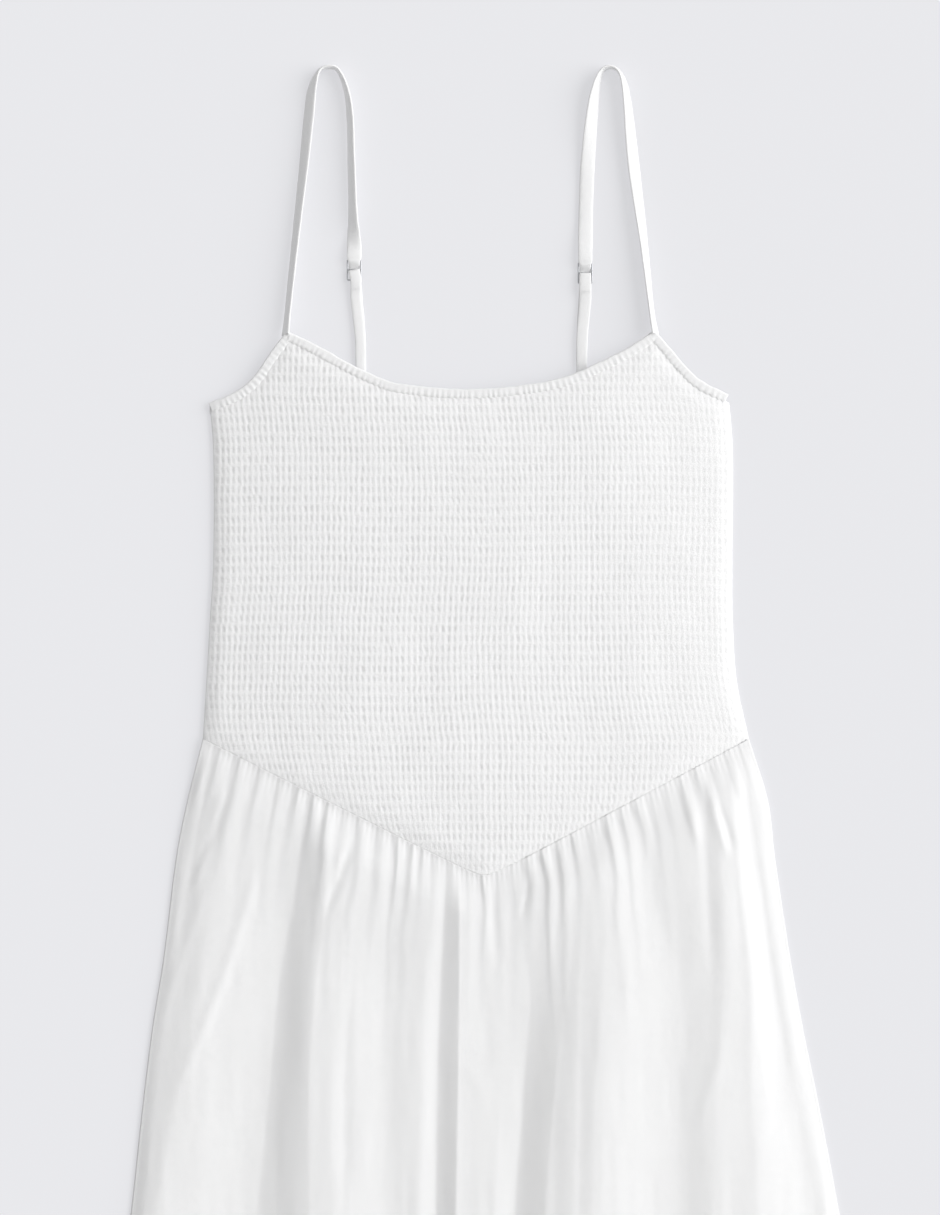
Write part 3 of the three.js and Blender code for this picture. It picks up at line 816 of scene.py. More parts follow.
@dataclass(frozen=True)
class Cotton:
    """Woven cotton with a soft, slightly uneven face."""

    name: str = "white_cotton_poplin"
    colour: tuple = (0.842, 0.842, 0.844, 1.0)
    roughness: float = 0.86
    sheen: float = 0.12
    threads_per_metre: float = 3200.0
    thread_relief: float = 0.00008
    relief_strength: float = 0.6
    sheen_roughness: float = 0.5
    specular: float = 0.2
    mottle: float = 0.03
    crinkle: float = 0.0
    crinkle_scale: float = 260.0
    hollow_shade: float = 0.0

    def material(self, groups: Groups) -> bpy.types.Material:
        """Builds the cloth's material.

        Args:
            groups: the shared shader groups.

        Returns:
            The finished material.
        """
        material, w, shader = blank_material(self.name)
        place = w.node("ShaderNodeTexCoord")
        weave = w.node("ShaderNodeGroup", node_tree=groups.weave)
        w.feed(weave.inputs["Vector"], place.outputs["UV"])
        weave.inputs["Threads"].default_value = self.threads_per_metre
        tone = toned(w, groups, place.outputs["Object"],
                     {"Colour": self.colour, "Mottle": self.mottle})
        # painted shade: the smocked cotton's colour darkens with the depth of its hollows
        if self.hollow_shade:
            hollow = w.node("ShaderNodeAttribute", attribute_name="hollow")
            w.feed(tone.inputs["Hollow"], hollow.outputs["Fac"])
            tone.inputs["Hollow shade"].default_value = self.hollow_shade
        w.feed(shader.inputs["Base Color"], tone.outputs["Colour"])
        fine = w.node("ShaderNodeBump")
        fine.inputs["Distance"].default_value = self.thread_relief
        fine.inputs["Strength"].default_value = self.relief_strength
        w.feed(fine.inputs["Height"], weave.outputs["Height"])
        if self.crinkle:
            coarse = w.node("ShaderNodeBump")
            coarse.inputs["Distance"].default_value = self.crinkle
            coarse.inputs["Strength"].default_value = 1.0
            w.feed(coarse.inputs["Height"], w.noise(place.outputs["Object"], self.crinkle_scale, 4.0))
            w.feed(fine.inputs["Normal"], coarse.outputs["Normal"])
        w.feed(shader.inputs["Normal"], fine.outputs["Normal"])
        shader.inputs["Roughness"].default_value = self.roughness
        shader.inputs["Sheen Weight"].default_value = self.sheen
        shader.inputs["Sheen Roughness"].default_value = self.sheen_roughness
        shader.inputs["Specular IOR Level"].default_value = self.specular
        return material


@dataclass(frozen=True)
class Thread:
    """Twisted sewing thread."""

    name: str = "white_sewing_thread"
    colour: tuple = (0.8, 0.8, 0.8, 1.0)
    roughness: float = 0.7
    patches_per_metre: float = 400.0
    twist_per_metre: float = 2600.0
    relief: float = 0.00005

    def material(self, groups: Groups) -> bpy.types.Material:
        """Builds the thread's material.

        Args:
            groups: the shared shader groups.

        Returns:
            The finished material.
        """
        material, w, shader = blank_material(self.name)
        place = w.node("ShaderNodeTexCoord")
        tone = toned(w, groups, place.outputs["Object"],
                     {"Colour": self.colour, "Patch": self.patches_per_metre})
        w.feed(shader.inputs["Base Color"], tone.outputs["Colour"])
        ply = w.node("ShaderNodeTexWave", bands_direction="DIAGONAL")
        w.feed(ply.inputs["Vector"], place.outputs["Object"])
        ply.inputs["Scale"].default_value = self.twist_per_metre
        bump = w.node("ShaderNodeBump")
        bump.inputs["Distance"].default_value = self.relief
        w.feed(bump.inputs["Height"], ply.outputs["Fac"])
        w.feed(shader.inputs["Normal"], bump.outputs["Normal"])
        shader.inputs["Roughness"].default_value = self.roughness
        return material


@dataclass(frozen=True)
class SliderMetal:
    """Polished nickel-coloured metal with fine handling marks."""

    name: str = "polished_slider_metal"
    colour: tuple = (0.52, 0.53, 0.55, 1.0)
    mottle: float = 0.12
    patches_per_metre: float = 900.0
    marks_per_metre: float = 1500.0
    roughness: float = 0.28
    smoother_by: float = 0.1
    rougher_by: float = 0.15

    def material(self, groups: Groups) -> bpy.types.Material:
        """Builds the metal's material.

        Args:
            groups: the shared shader groups.

        Returns:
            The finished material.
        """
        material, w, shader = blank_material(self.name)
        place = w.node("ShaderNodeTexCoord")
        tone = toned(w, groups, place.outputs["Object"], {
            "Colour": self.colour, "Mottle": self.mottle, "Patch": self.patches_per_metre,
        })
        w.feed(shader.inputs["Base Color"], tone.outputs["Colour"])
        marks = w.noise(place.outputs["Object"], self.marks_per_metre, 5.0)
        worn = w.range(marks, self.roughness - self.smoother_by, self.roughness + self.rougher_by)
        w.feed(shader.inputs["Roughness"], worn)
        shader.inputs["Metallic"].default_value = 1.0
        return material


@dataclass(frozen=True)
class StudioFloor:
    """Pale matt studio surface, lit through from below, so that shadows on it are faint."""

    name: str = "pale_studio_floor"
    colour: tuple = (0.785, 0.787, 0.812, 1.0)
    mottle: float = 0.004
    patches_per_metre: float = 6.0
    from_below: float = 0.6
    brightness: float = 1.035

    def material(self, groups: Groups) -> bpy.types.Material:
        """Builds the floor's material.

        Args:
            groups: the shared shader groups.

        Returns:
            The finished material.
        """
        material, w, shader = blank_material(self.name)
        place = w.node("ShaderNodeTexCoord")
        tone = toned(w, groups, place.outputs["Object"], {
            "Colour": self.colour, "Mottle": self.mottle, "Patch": self.patches_per_metre,
        })
        lit = w.node("ShaderNodeVectorMath", operation="SCALE")
        w.feed(lit.inputs[0], tone.outputs["Colour"])
        lit.inputs["Scale"].default_value = 1 - self.from_below
        w.feed(shader.inputs["Base Color"], lit.outputs[0])
        glow = w.node("ShaderNodeVectorMath", operation="SCALE")
        w.feed(glow.inputs[0], tone.outputs["Colour"])
        glow.inputs["Scale"].default_value = self.from_below
        w.feed(shader.inputs["Emission Color"], glow.outputs[0])
        shader.inputs["Emission Strength"].default_value = self.brightness
        shader.inputs["Roughness"].default_value = 1.0
        shader.inputs["Specular IOR Level"].default_value = 0.0
        return material


@dataclass(frozen=True)
class Wardrobe:
    """The materials of the dress."""

    cotton: bpy.types.Material
    smocked: bpy.types.Material
    thread: bpy.types.Material
    metal: bpy.types.Material
    floor: bpy.types.Material

    @classmethod
    def dyed(cls, groups: Groups) -> "Wardrobe":
        """Builds every material.

        Args:
            groups: the shared shader groups.

        Returns:
            The finished materials.
        """
        # The smocked copy of the same cotton is painted lighter, to offset the shade of its puckers and
        # its painted hollow shade.
        smocked = Cotton(name="smocked_cotton", colour=(0.885, 0.885, 0.887, 1.0), crinkle=0.0003,
                         crinkle_scale=700.0, hollow_shade=0.11)
        return cls(
            cotton=Cotton(crinkle=0.0002, crinkle_scale=120.0).material(groups),
            smocked=smocked.material(groups),
            thread=Thread().material(groups),
            metal=SliderMetal().material(groups),
            floor=StudioFloor().material(groups),
        )


@dataclass(frozen=True)
class PuckerForm:
    """How a pucker rises between two rows of elastic, and how its furrow wanders."""

    wander_across: float = 0.37
    wander_down: float = 0.8
    wander_reach: float = 4.0
    rises_from: float = 0.12
    full_at: float = 0.72
    shallowest: float = 0.55
    deepest: float = 1.15
    level_at_elastic: float = 0.94
    swell: float = 0.06


def smocking_tree() -> bpy.types.NodeTree:
    """Puckers between rows of elastic, over the columns and rows that a panel states.

    The panel's points hold gather, which counts furrows across, elastic, which counts rows
    of elastic down, and ease, the share of the relief that they get. The result's points
    also hold hollow, the share of the full depth at which they lie, which the smocked cotton
    uses to paint shade into the hollows.

    Returns:
        A geometry tree that raises the puckers.
    """
    tree, w, start, end = new_tree(
        "Smocking", "GeometryNodeTree",
        [("Panel", GEOMETRY, None), ("Pucker height", FLOAT, 0.0015), ("Depth at elastic", FLOAT, 0.12),
         ("Furrow sharpness", FLOAT, 1.3), ("Wander", FLOAT, 0.14), ("Seed", FLOAT, 3.0),
         ("Cloth", "NodeSocketMaterial", None)],
        [("Panel", GEOMETRY)],
    )
    form = PuckerForm()
    gather, elastic, ease = (named_value(w, name) for name in ("gather", "elastic", "ease"))
    wander_at = w.vector(w.math("MULTIPLY", gather, form.wander_across),
                         w.math("MULTIPLY", elastic, form.wander_down), start.outputs["Seed"])
    wander = w.math("SUBTRACT", w.noise(wander_at, 1.0), 0.5)
    wandering = w.math("MULTIPLY", start.outputs["Wander"], form.wander_reach)
    furrow_place = w.math("MULTIPLY_ADD", wander, wandering, gather)
    wave = w.math("COSINE", w.math("MULTIPLY", furrow_place, 2 * math.pi))
    swing = w.math("MULTIPLY_ADD", wave, 0.5, 0.5)
    furrow = w.math("POWER", swing, start.outputs["Furrow sharpness"])
    half_turn = w.math("SINE", w.math("MULTIPLY", elastic, math.pi))
    puff = w.node("ShaderNodeMapRange", interpolation_type="SMOOTHSTEP")
    w.feed(puff.inputs["Value"], w.math("MULTIPLY", half_turn, half_turn))
    puff.inputs["From Min"].default_value = form.rises_from
    puff.inputs["From Max"].default_value = form.full_at
    puff = puff.outputs["Result"]
    cell = w.node("ShaderNodeTexWhiteNoise")
    w.feed(cell.inputs["Vector"], w.vector(w.math("ROUND", furrow_place), w.math("FLOOR", elastic),
                                           start.outputs["Seed"]))
    depth = w.range(cell.outputs["Value"], form.shallowest, form.deepest)
    low = start.outputs["Depth at elastic"]
    span = w.math("MULTIPLY", w.math("SUBTRACT", 1.0, low), w.math("MULTIPLY", puff, depth))
    sink = w.math("MULTIPLY", furrow, w.math("ADD", low, span))
    swell = w.math("MULTIPLY_ADD", puff, form.swell, form.level_at_elastic)
    rise = w.math("MULTIPLY", w.math("SUBTRACT", 1.0, sink), swell)
    height = w.math("MULTIPLY", w.math("MULTIPLY", rise, ease), start.outputs["Pucker height"])
    move = w.node("GeometryNodeSetPosition")
    w.feed(move.inputs["Geometry"], start.outputs["Panel"])
    w.feed(move.inputs["Offset"], w.vector(0.0, 0.0, height))
    # hollow drives the painted shade in the smocked cotton's hollows
    kept = w.node("GeometryNodeStoreNamedAttribute", data_type="FLOAT", domain="POINT")
    w.feed(kept.inputs["Geometry"], move.outputs["Geometry"])
    kept.inputs["Name"].default_value = "hollow"
    w.feed(kept.inputs["Value"], w.math("MULTIPLY", sink, ease))
    finish_tree(w, kept.outputs["Geometry"], start.outputs["Cloth"], end.inputs["Panel"])
    return tree


def named_value(w: Wiring, name: str) -> Socket:
    """Reads a number that a mesh's points hold.

    Args:
        w: the tree's wiring.
        name: the number's name.

    Returns:
        The number at each point.
    """
    node = w.node("GeometryNodeInputNamedAttribute", data_type="FLOAT")
    node.inputs["Name"].default_value = name
    return node.outputs["Attribute"]


def finish_tree(w: Wiring, shape: Socket, material: Socket, end: Socket) -> None:
    """Makes a tree's result real and gives it its material.

    Args:
        w: the tree's wiring.
        shape: the geometry that is finished.
        material: the material that it gets.
        end: the tree's output.
    """
    real = w.node("GeometryNodeRealizeInstances")
    w.feed(real.inputs[0], shape)
    dressed = w.node("GeometryNodeSetMaterial")
    w.feed(dressed.inputs["Geometry"], real.outputs[0])
    w.feed(dressed.inputs["Material"], material)
    w.feed(end, dressed.outputs[0])


def stitch_tree() -> bpy.types.NodeTree:
    """Even stitches along a line.

    Returns:
        A geometry tree that sets a short rounded thread at each step of the line.
    """
    tree, w, start, end = new_tree(
        "Stitches", "GeometryNodeTree",
        [("Line", GEOMETRY, None), ("Pitch", FLOAT, 0.003), ("Length", FLOAT, 0.0021),
         ("Radius", FLOAT, 0.00025), ("Unevenness", FLOAT, 0.12), ("Seed", "NodeSocketInt", 5),
         ("Thread", "NodeSocketMaterial", None)],
        [("Stitches", GEOMETRY)],
    )
    curve = w.node("GeometryNodeMeshToCurve")
    w.feed(curve.inputs[0], start.outputs["Line"])
    walk = w.node("GeometryNodeResampleCurve", mode="LENGTH")
    w.feed(walk.inputs["Curve"], curve.outputs[0])
    w.feed(walk.inputs["Length"], start.outputs["Pitch"])
    bead = w.node("GeometryNodeMeshUVSphere")
    bead.inputs["Segments"].default_value = 8
    bead.inputs["Rings"].default_value = 6
    bead.inputs["Radius"].default_value = 1.0
    turn = w.node("FunctionNodeAlignRotationToVector", axis="X")
    w.feed(turn.inputs["Vector"], w.node("GeometryNodeInputTangent").outputs[0])
    uneven = w.node("FunctionNodeRandomValue", data_type="FLOAT")
    uneven.inputs[2].default_value = -1.0
    uneven.inputs[3].default_value = 1.0
    w.feed(uneven.inputs["Seed"], start.outputs["Seed"])
    stretch = w.math("MULTIPLY_ADD", uneven.outputs[1], start.outputs["Unevenness"], 1.0)
    half = w.math("MULTIPLY", w.math("MULTIPLY", start.outputs["Length"], 0.5), stretch)
    radius = start.outputs["Radius"]
    placed = w.node("GeometryNodeInstanceOnPoints")
    w.feed(placed.inputs["Points"], walk.outputs[0])
    w.feed(placed.inputs["Instance"], bead.outputs[0])
    w.feed(placed.inputs["Rotation"], turn.outputs[0])
    w.feed(placed.inputs["Scale"], w.vector(half, radius, radius))
    finish_tree(w, placed.outputs[0], start.outputs["Thread"], end.inputs["Stitches"])
    return tree


def grow(piece: bpy.types.Object, tree: bpy.types.NodeTree, values: dict) -> None:
    """Runs a geometry tree on a piece and keeps the result as its mesh.

    Args:
        piece: the object that the tree works on.
        tree: the geometry tree.
        values: its inputs' values by name.
    """
    modifier = piece.modifiers.new(tree.name, "NODES")
    modifier.node_group = tree
    identifiers = {item.name: item.identifier for item in tree.interface.items_tree
                   if item.item_type == "SOCKET" and item.in_out == "INPUT"}
    for name, value in values.items():
        modifier[identifiers[name]] = value
    plain_mesh(piece)


@dataclass(frozen=True)
class Seamstress:
    """Sews rows of stitches."""

    tree: bpy.types.NodeTree
    thread: bpy.types.Material

    def sew(self, name: str, lines: Sequence[Array], finish: Finish, pitch: float = 3.0,
            length: float = 2.1, radius: float = 0.25, seed: int = 5) -> bpy.types.Object:
        """Sews stitches along lines.

        Args:
            name: the piece's name.
            lines: points along each line in millimetres.
            finish: the material slot that the thread takes its finish from.
            pitch: distance from stitch to stitch.
            length: a stitch's length.
            radius: the thread's radius.
            seed: number that fixes the stitches' unevenness.

        Returns:
            The stitches as one plain mesh.
        """
        points, edges = [], []
        for line in lines:
            start = len(points)
            points.extend((line * MM).tolist())
            edges.extend((start + k, start + k + 1) for k in range(len(line) - 1))
        mesh = bpy.data.meshes.new(name)
        mesh.from_pydata(points, edges, [])
        mesh.materials.append(self.thread)
        piece = bpy.data.objects.new(name, mesh)
        bpy.context.collection.objects.link(piece)
        grow(piece, self.tree, {
            "Pitch": pitch * MM, "Length": length * MM, "Radius": radius * MM,
            "Seed": seed, "Thread": self.thread,
        })
        piece.data.shade_smooth()
        seat(piece, finish)
        return piece


@dataclass
class Panel:
    """A grid over the bodice, cut to the V seam, the sides and an upper edge."""

    columns: int
    rows: int
    top: Callable[[Array], Array]
    low_y: float = -118.0
    high_y: float = 262.0

    def points_and_faces(self) -> tuple[Array, Array, Array, list]:
        """Lays the grid out.

        Returns:
            The share across, x and y of each point, and the faces.
        """
        u = np.linspace(0, 1, self.columns + 1)[:, None]
        level = np.linspace(self.low_y, self.high_y, self.rows + 1)[None, :]
        u, level = np.broadcast_arrays(u, level)
        y = level.copy()
        for _ in range(4):
            left, right = PATTERN.bodice_sides(y)
            x = lerp(left, right, u)
            y = np.minimum(np.maximum(level, PATTERN.seam(x)), self.top(x))
        over = level >= self.top(x)
        under = level <= PATTERN.seam(x)
        first = np.where(under, np.arange(self.rows + 1)[None, :], 0).max(axis=1)
        last = np.where(over, np.arange(self.rows + 1)[None, :], self.rows).min(axis=1)
        row = np.clip(np.arange(self.rows + 1)[None, :], first[:, None], last[:, None])
        index = np.arange(self.columns + 1)[:, None] * (self.rows + 1) + row
        quads = np.stack([index[:-1, :-1], index[1:, :-1], index[1:, 1:], index[:-1, 1:]], axis=-1)
        kept, numbers = [], {}
        for quad in quads.reshape(-1, 4).tolist():
            face = list(dict.fromkeys(quad))
            if len(face) > 2:
                kept.append(tuple(numbers.setdefault(v, len(numbers)) for v in face))
        used = np.array(list(numbers))
        return u.ravel()[used], x.ravel()[used], y.ravel()[used], kept


def state(piece: bpy.types.Object, **numbers: Array) -> None:
    """Writes numbers to the outer points of a panel, and 0 to its other points.

    Args:
        piece: the panel.
        numbers: the value at each outer point, by name.
    """
    for name, values in numbers.items():
        every = np.zeros(len(piece.data.vertices), np.float32)
        every[: len(values)] = values
        layer = piece.data.attributes.new(name, "FLOAT", "POINT")
        layer.data.foreach_set("value", every)


@dataclass
class BodiceFront:
    """The smocked front of the bodice."""

    columns: int = 93
    row_pitch: float = 6.83
    samples_per_column: int = 4
    rows_of_points: int = 290
    wall: float = 1.3
    pucker_height: float = 0.6
    gather_ratio: float = 1.35
    tuck_under_binding: float = 5.0
    bend_at_seam: float = 8.0
    bend_reach: float = 26.0
    swell_height: float = 0.6
    broad_swell: float = 0.5
    small_swell: float = 0.22
    swell_reach: float = 11.0
    fullness_left: float = 1.08
    less_in_middle: float = 0.12
    less_on_right: float = 0.4
    inside_spacing: float = 8.0
    cut_length: float = 375.0
    cut_share: float = 0.76

    def build(self, tree: bpy.types.NodeTree, cloth: bpy.types.Material) -> bpy.types.Object:
        """Cuts and smocks the panel.

        Args:
            tree: the geometry tree that raises the puckers.
            cloth: the panel's material.

        Returns:
            The finished piece.
        """
        panel = Panel(self.columns * self.samples_per_column, self.rows_of_points,
                      lambda x: PATTERN.top_edge(x, self.tuck_under_binding))
        u, x, y, faces = panel.points_and_faces()
        left, right = PATTERN.bodice_sides(y)
        wall = self.wall * smoothstep(np.minimum(x - left, right - x), -4.0, 4.0)
        base = PATTERN.inner(x, y) + wall + self.swell(x, y)
        points = np.column_stack([x, y, base])
        cut = np.column_stack([x * self.gather_ratio, y])
        shape = closed_below(points, faces, cut, PATTERN.inner, self.inside_spacing)
        piece = make_piece("bodice_front_smocked", shape, cloth)
        state(piece, gather=self.gathers(u, x, y), elastic=self.elastics(x, y),
              ease=smoothstep(self.edge_distance(x, y), -1.2, 2.4) * self.fullness(u))
        grow(piece, tree, {"Pucker height": self.pucker_height * MM, "Cloth": cloth})
        seat(piece, Finish.SMOCKED, "bodice_front")
        return piece

    def swell(self, x: Array, y: Array) -> Array:
        """Soft unevenness of the whole panel, which lies without any stretch.

        Args:
            x: places across.
            y: places along.

        Returns:
            The height that it adds.
        """
        uneven = Unevenness(11)
        broad = self.broad_swell * uneven.at(x / 70 + 9, y / 90 + 4)
        small = self.small_swell * uneven.at(x / 21 + 3, y / 30 + 7)
        raised = smoothstep(self.edge_distance(x, y), 0, self.swell_reach)
        return (broad + small + self.swell_height) * raised

    def fullness(self, u: Array) -> Array:
        """Share of the puckers' height, which is less on the right."""
        middle = self.fullness_left - self.less_in_middle * smoothstep(u, 0.3, 0.6)
        return middle - self.less_on_right * smoothstep(u, 0.7, 1.0)

    def edge_distance(self, x: Array, y: Array) -> Array:
        """Distance to the nearest edge of the panel.

        Args:
            x: places across.
            y: places along.

        Returns:
            The distance, close to true beside the slanted edges.
        """
        left, right = PATTERN.bodice_sides(y)
        sides = np.minimum(x - left, right - x)
        seam = (y - PATTERN.seam(x)) * 0.9
        top = (PATTERN.top_edge(x, self.tuck_under_binding) - y) * 0.85
        return np.minimum(np.minimum(sides, seam), np.maximum(top, 0))

    def gathers(self, u: Array, x: Array, y: Array) -> Array:
        """Counts the furrows across, which bend with the V seam and lean in places.

        Args:
            u: share across.
            x: places across.
            y: places along.

        Returns:
            The count, a whole number in the middle of a furrow.
        """
        above = np.maximum(y - PATTERN.seam(x), 0)
        pull = np.where(x < PATTERN.point_x, 1.0, -0.4)
        pull = pull * smoothstep(np.abs(x - PATTERN.point_x), 5, 60)
        bend = self.bend_at_seam * pull * np.exp(-above / self.bend_reach)
        uneven = Unevenness(23)
        drift = 1.0 * uneven.at(x / 60, y / 45) + 0.35 * uneven.at(x / 12, y / 9)
        width = PATTERN.bodice_right[3] - PATTERN.bodice_left[3]
        pitch = width / self.columns
        lean = 0.5 + 0.5 * uneven.at(x / 55 + 20, y / 70 + 20)
        slant = 0.16 * lean * np.sin(2 * math.pi * self.elastics(x, y))
        return u * self.columns + 0.5 + (drift - bend) / pitch + slant

    def elastics(self, x: Array, y: Array) -> Array:
        """Counts the rows of elastic down from the top, each a little wavy.

        Args:
            x: places across.
            y: places along.

        Returns:
            The count, a whole number on a row.
        """
        wave = 0.9 * Unevenness(31).at(x / 38, y / 110)
        drop = 1.6 * smoothstep(x, 140, 176)
        return (PATTERN.neckline[0][1] - y + wave - drop) / self.row_pitch + 0.5


@dataclass
class BodiceBack:
    """The back of the bodice, pressed flat under the front."""

    columns: int = 93
    row_pitch: float = 6.83
    samples_per_column: int = 4
    rows_of_points: int = 160
    gather_ratio: float = 1.35
    wall: float = 0.9
    pucker_height: float = 1.1
    tuck_under_binding: float = 5.0
    ease_reach: float = 8.0
    inside_spacing: float = 12.0
    cut_share: float = 0.86

    def build(self, tree: bpy.types.NodeTree, cloth: bpy.types.Material) -> bpy.types.Object:
        """Cuts and smocks the panel.

        Args:
            tree: the geometry tree that raises the puckers.
            cloth: the panel's material.

        Returns:
            The finished piece.
        """
        edge = PATTERN.back_neck_y - self.tuck_under_binding
        panel = Panel(self.columns * self.samples_per_column, self.rows_of_points,
                      lambda x: np.full_like(x, edge))
        u, x, y, faces = panel.points_and_faces()
        points = np.column_stack([x, y, np.full_like(x, self.wall)])
        cut = np.column_stack([x * self.gather_ratio, y])
        shape = closed_below(points, faces, cut, lambda a, b: np.zeros_like(a),
                             self.inside_spacing)
        piece = make_piece("bodice_back_smocked", shape, cloth)
        left, right = PATTERN.bodice_sides(y)
        inside = np.minimum(np.minimum(x - left, right - x), np.minimum(y - PATTERN.seam(x), edge - y))
        state(piece, gather=u * self.columns, elastic=y / self.row_pitch,
              ease=smoothstep(inside, 0.0, self.ease_reach))
        grow(piece, tree, {"Pucker height": self.pucker_height * MM, "Cloth": cloth})
        seat(piece, Finish.SMOCKED, "bodice_back")
        return piece


@dataclass
class Binding:
    """A folded strip that wraps an upper edge of the bodice."""

    name: str
    node: str
    rows: tuple
    inset_at_start: float = 0.0
    inset_at_end: float = 0.0
    level: float | None = None
    width: float = 6.5
    thick: float = 2.3
    cloth: float = 0.5
    rib_pitch: float = 3.9
    rib_height: float = 0.2
    rib_drift: float = 0.35
    edge_wobble: float = 0.22
    lip_ripple: float = 0.2
    stitch_inset: float = 1.3
    stitch_sink: float = 0.1
    step: float = 0.6
    seed: int = 1

    def frames(self) -> tuple[Array, Array, Array]:
        """Path of the edge with the direction across it.

        Returns:
            Points on the edge, unit directions inward from it, and distances along it.
        """
        edge = even_steps(spline(self.rows), self.step)
        along = np.arange(len(edge)) * self.step
        keep = (along >= self.inset_at_start) & (along <= along[-1] - self.inset_at_end)
        way = tangents(edge)
        inward = np.stack([way[:, 1], -way[:, 0]], axis=1)
        return edge[keep], inward[keep], along[keep]

    def height(self, x: Array, y: Array) -> Array:
        """Height of the strip's underside."""
        return PATTERN.inner(x, y) if self.level is None else np.full_like(x, self.level)

    def section(self, along: Array) -> Array:
        """The strip's section at each step, open towards the bodice.

        Args:
            along: distances along the edge.

        Returns:
            Places inward from the edge and up from the underside, steps by points by 2.
        """
        r = self.thick / 2
        turns = np.linspace(-90, 90, 9)[::-1] * math.pi / 180
        outer = [(self.width, 0.0)] + [(w, 0.0) for w in (5.0, 3.5)]
        outer += [(r - r * math.cos(t), r - r * math.sin(t)) for t in turns]
        top = [(w, self.thick) for w in (2.6, 3.6, 4.4)]
        top += [(w, self.thick - drop) for w, drop in ((5.2, 0.08), (5.9, 0.28), (6.3, 0.42))]
        outer += top + [(self.width, self.thick - 0.55)]
        c = r - self.cloth
        lip = self.thick - self.cloth
        inner = [(self.width, lip - 0.3), (5.6, lip - 0.2), (3.8, lip)]
        inner += [(r - c * math.cos(t), r + c * math.sin(t)) for t in turns[::2]]
        inner += [(3.8, self.cloth), (self.width, self.cloth)]
        loop = np.array(outer + inner)
        sections = np.repeat(loop[None], len(along), axis=0)
        uneven = Unevenness(40 + self.seed)
        drift = self.rib_drift * uneven.at(along / 9.0, np.zeros_like(along))
        rib = np.cos(2 * math.pi * (along / self.rib_pitch + drift))
        strength = self.rib_height * (0.75 + 0.45 * uneven.at(along / 6.0, np.full_like(along, 5.0)))
        upper = (loop[:, 1] > r + 0.2)[None, :]
        reach = np.clip((loop[:, 0] + 1.2) / self.width, 0, 1)[None, :]
        sections[..., 1] += np.where(upper, (rib * strength)[:, None] * reach, 0)
        wobble = self.edge_wobble * uneven.at(along / 5.0, np.full_like(along, 9.0))
        sections[..., 0] += wobble[:, None] * (loop[:, 0] < 1.5)[None, :]
        sections[..., 0] += self.lip_ripple * rib[:, None] * (loop[:, 0] > 6.0)[None, :]
        return sections

    def build(self, cloth: bpy.types.Material, sewing: Seamstress) -> bpy.types.Object:
        """Folds the strip over the edge and sews it down.

        Args:
            cloth: the strip's material.
            sewing: sews the row of stitches near its inner edge.

        Returns:
            The finished strip.
        """
        edge, inward, along = self.frames()
        mid = edge + inward * self.width / 2
        path = np.column_stack([edge, self.height(mid[:, 0], mid[:, 1])])
        across = np.column_stack([inward, np.zeros(len(inward))])
        up = np.tile([0.0, 0.0, 1.0], (len(path), 1))
        piece = make_piece(self.name, swept(path, across, up, [self.section(along)]), cloth)
        seat(piece, Finish.COTTON, self.node)
        line = edge + inward * (self.width - self.stitch_inset)
        height = self.height(mid[:, 0], mid[:, 1]) + self.thick - self.stitch_sink
        sewing.sew(self.name + "_stitches", [np.column_stack([line, height])[2:-2]],
                   Finish.COTTON, pitch=2.6, length=1.7, radius=0.12, seed=self.seed)
        return piece


@dataclass(frozen=True)
class Fold:
    """A crest, hollow or edge of the skirt front that runs from the V seam to the hem.

    xs are its places across at the skirt's levels, rises its heights below the seam, midway
    and at the hem, and soft its roundness, from 0, a sharp crease, to 1.
    """

    name: str
    xs: tuple
    rises: tuple
    soft: float


@dataclass(frozen=True)
class Crease:
    """A short crease: its ends, its height or depth, its half width and its sideways bow."""

    name: str
    start: tuple
    end: tuple
    rise: float
    width: float
    bow: float = 0.0


# Levels at which every fold states its place across, from the V seam down to the hem.
LEVELS = (-60.0, -130.0, -190.0, -260.0, -352.0, -440.0)

# Shares of the way from the V seam to the hem at which every fold states its height.
RISE_STOPS = (0.0, 0.42, 1.0)

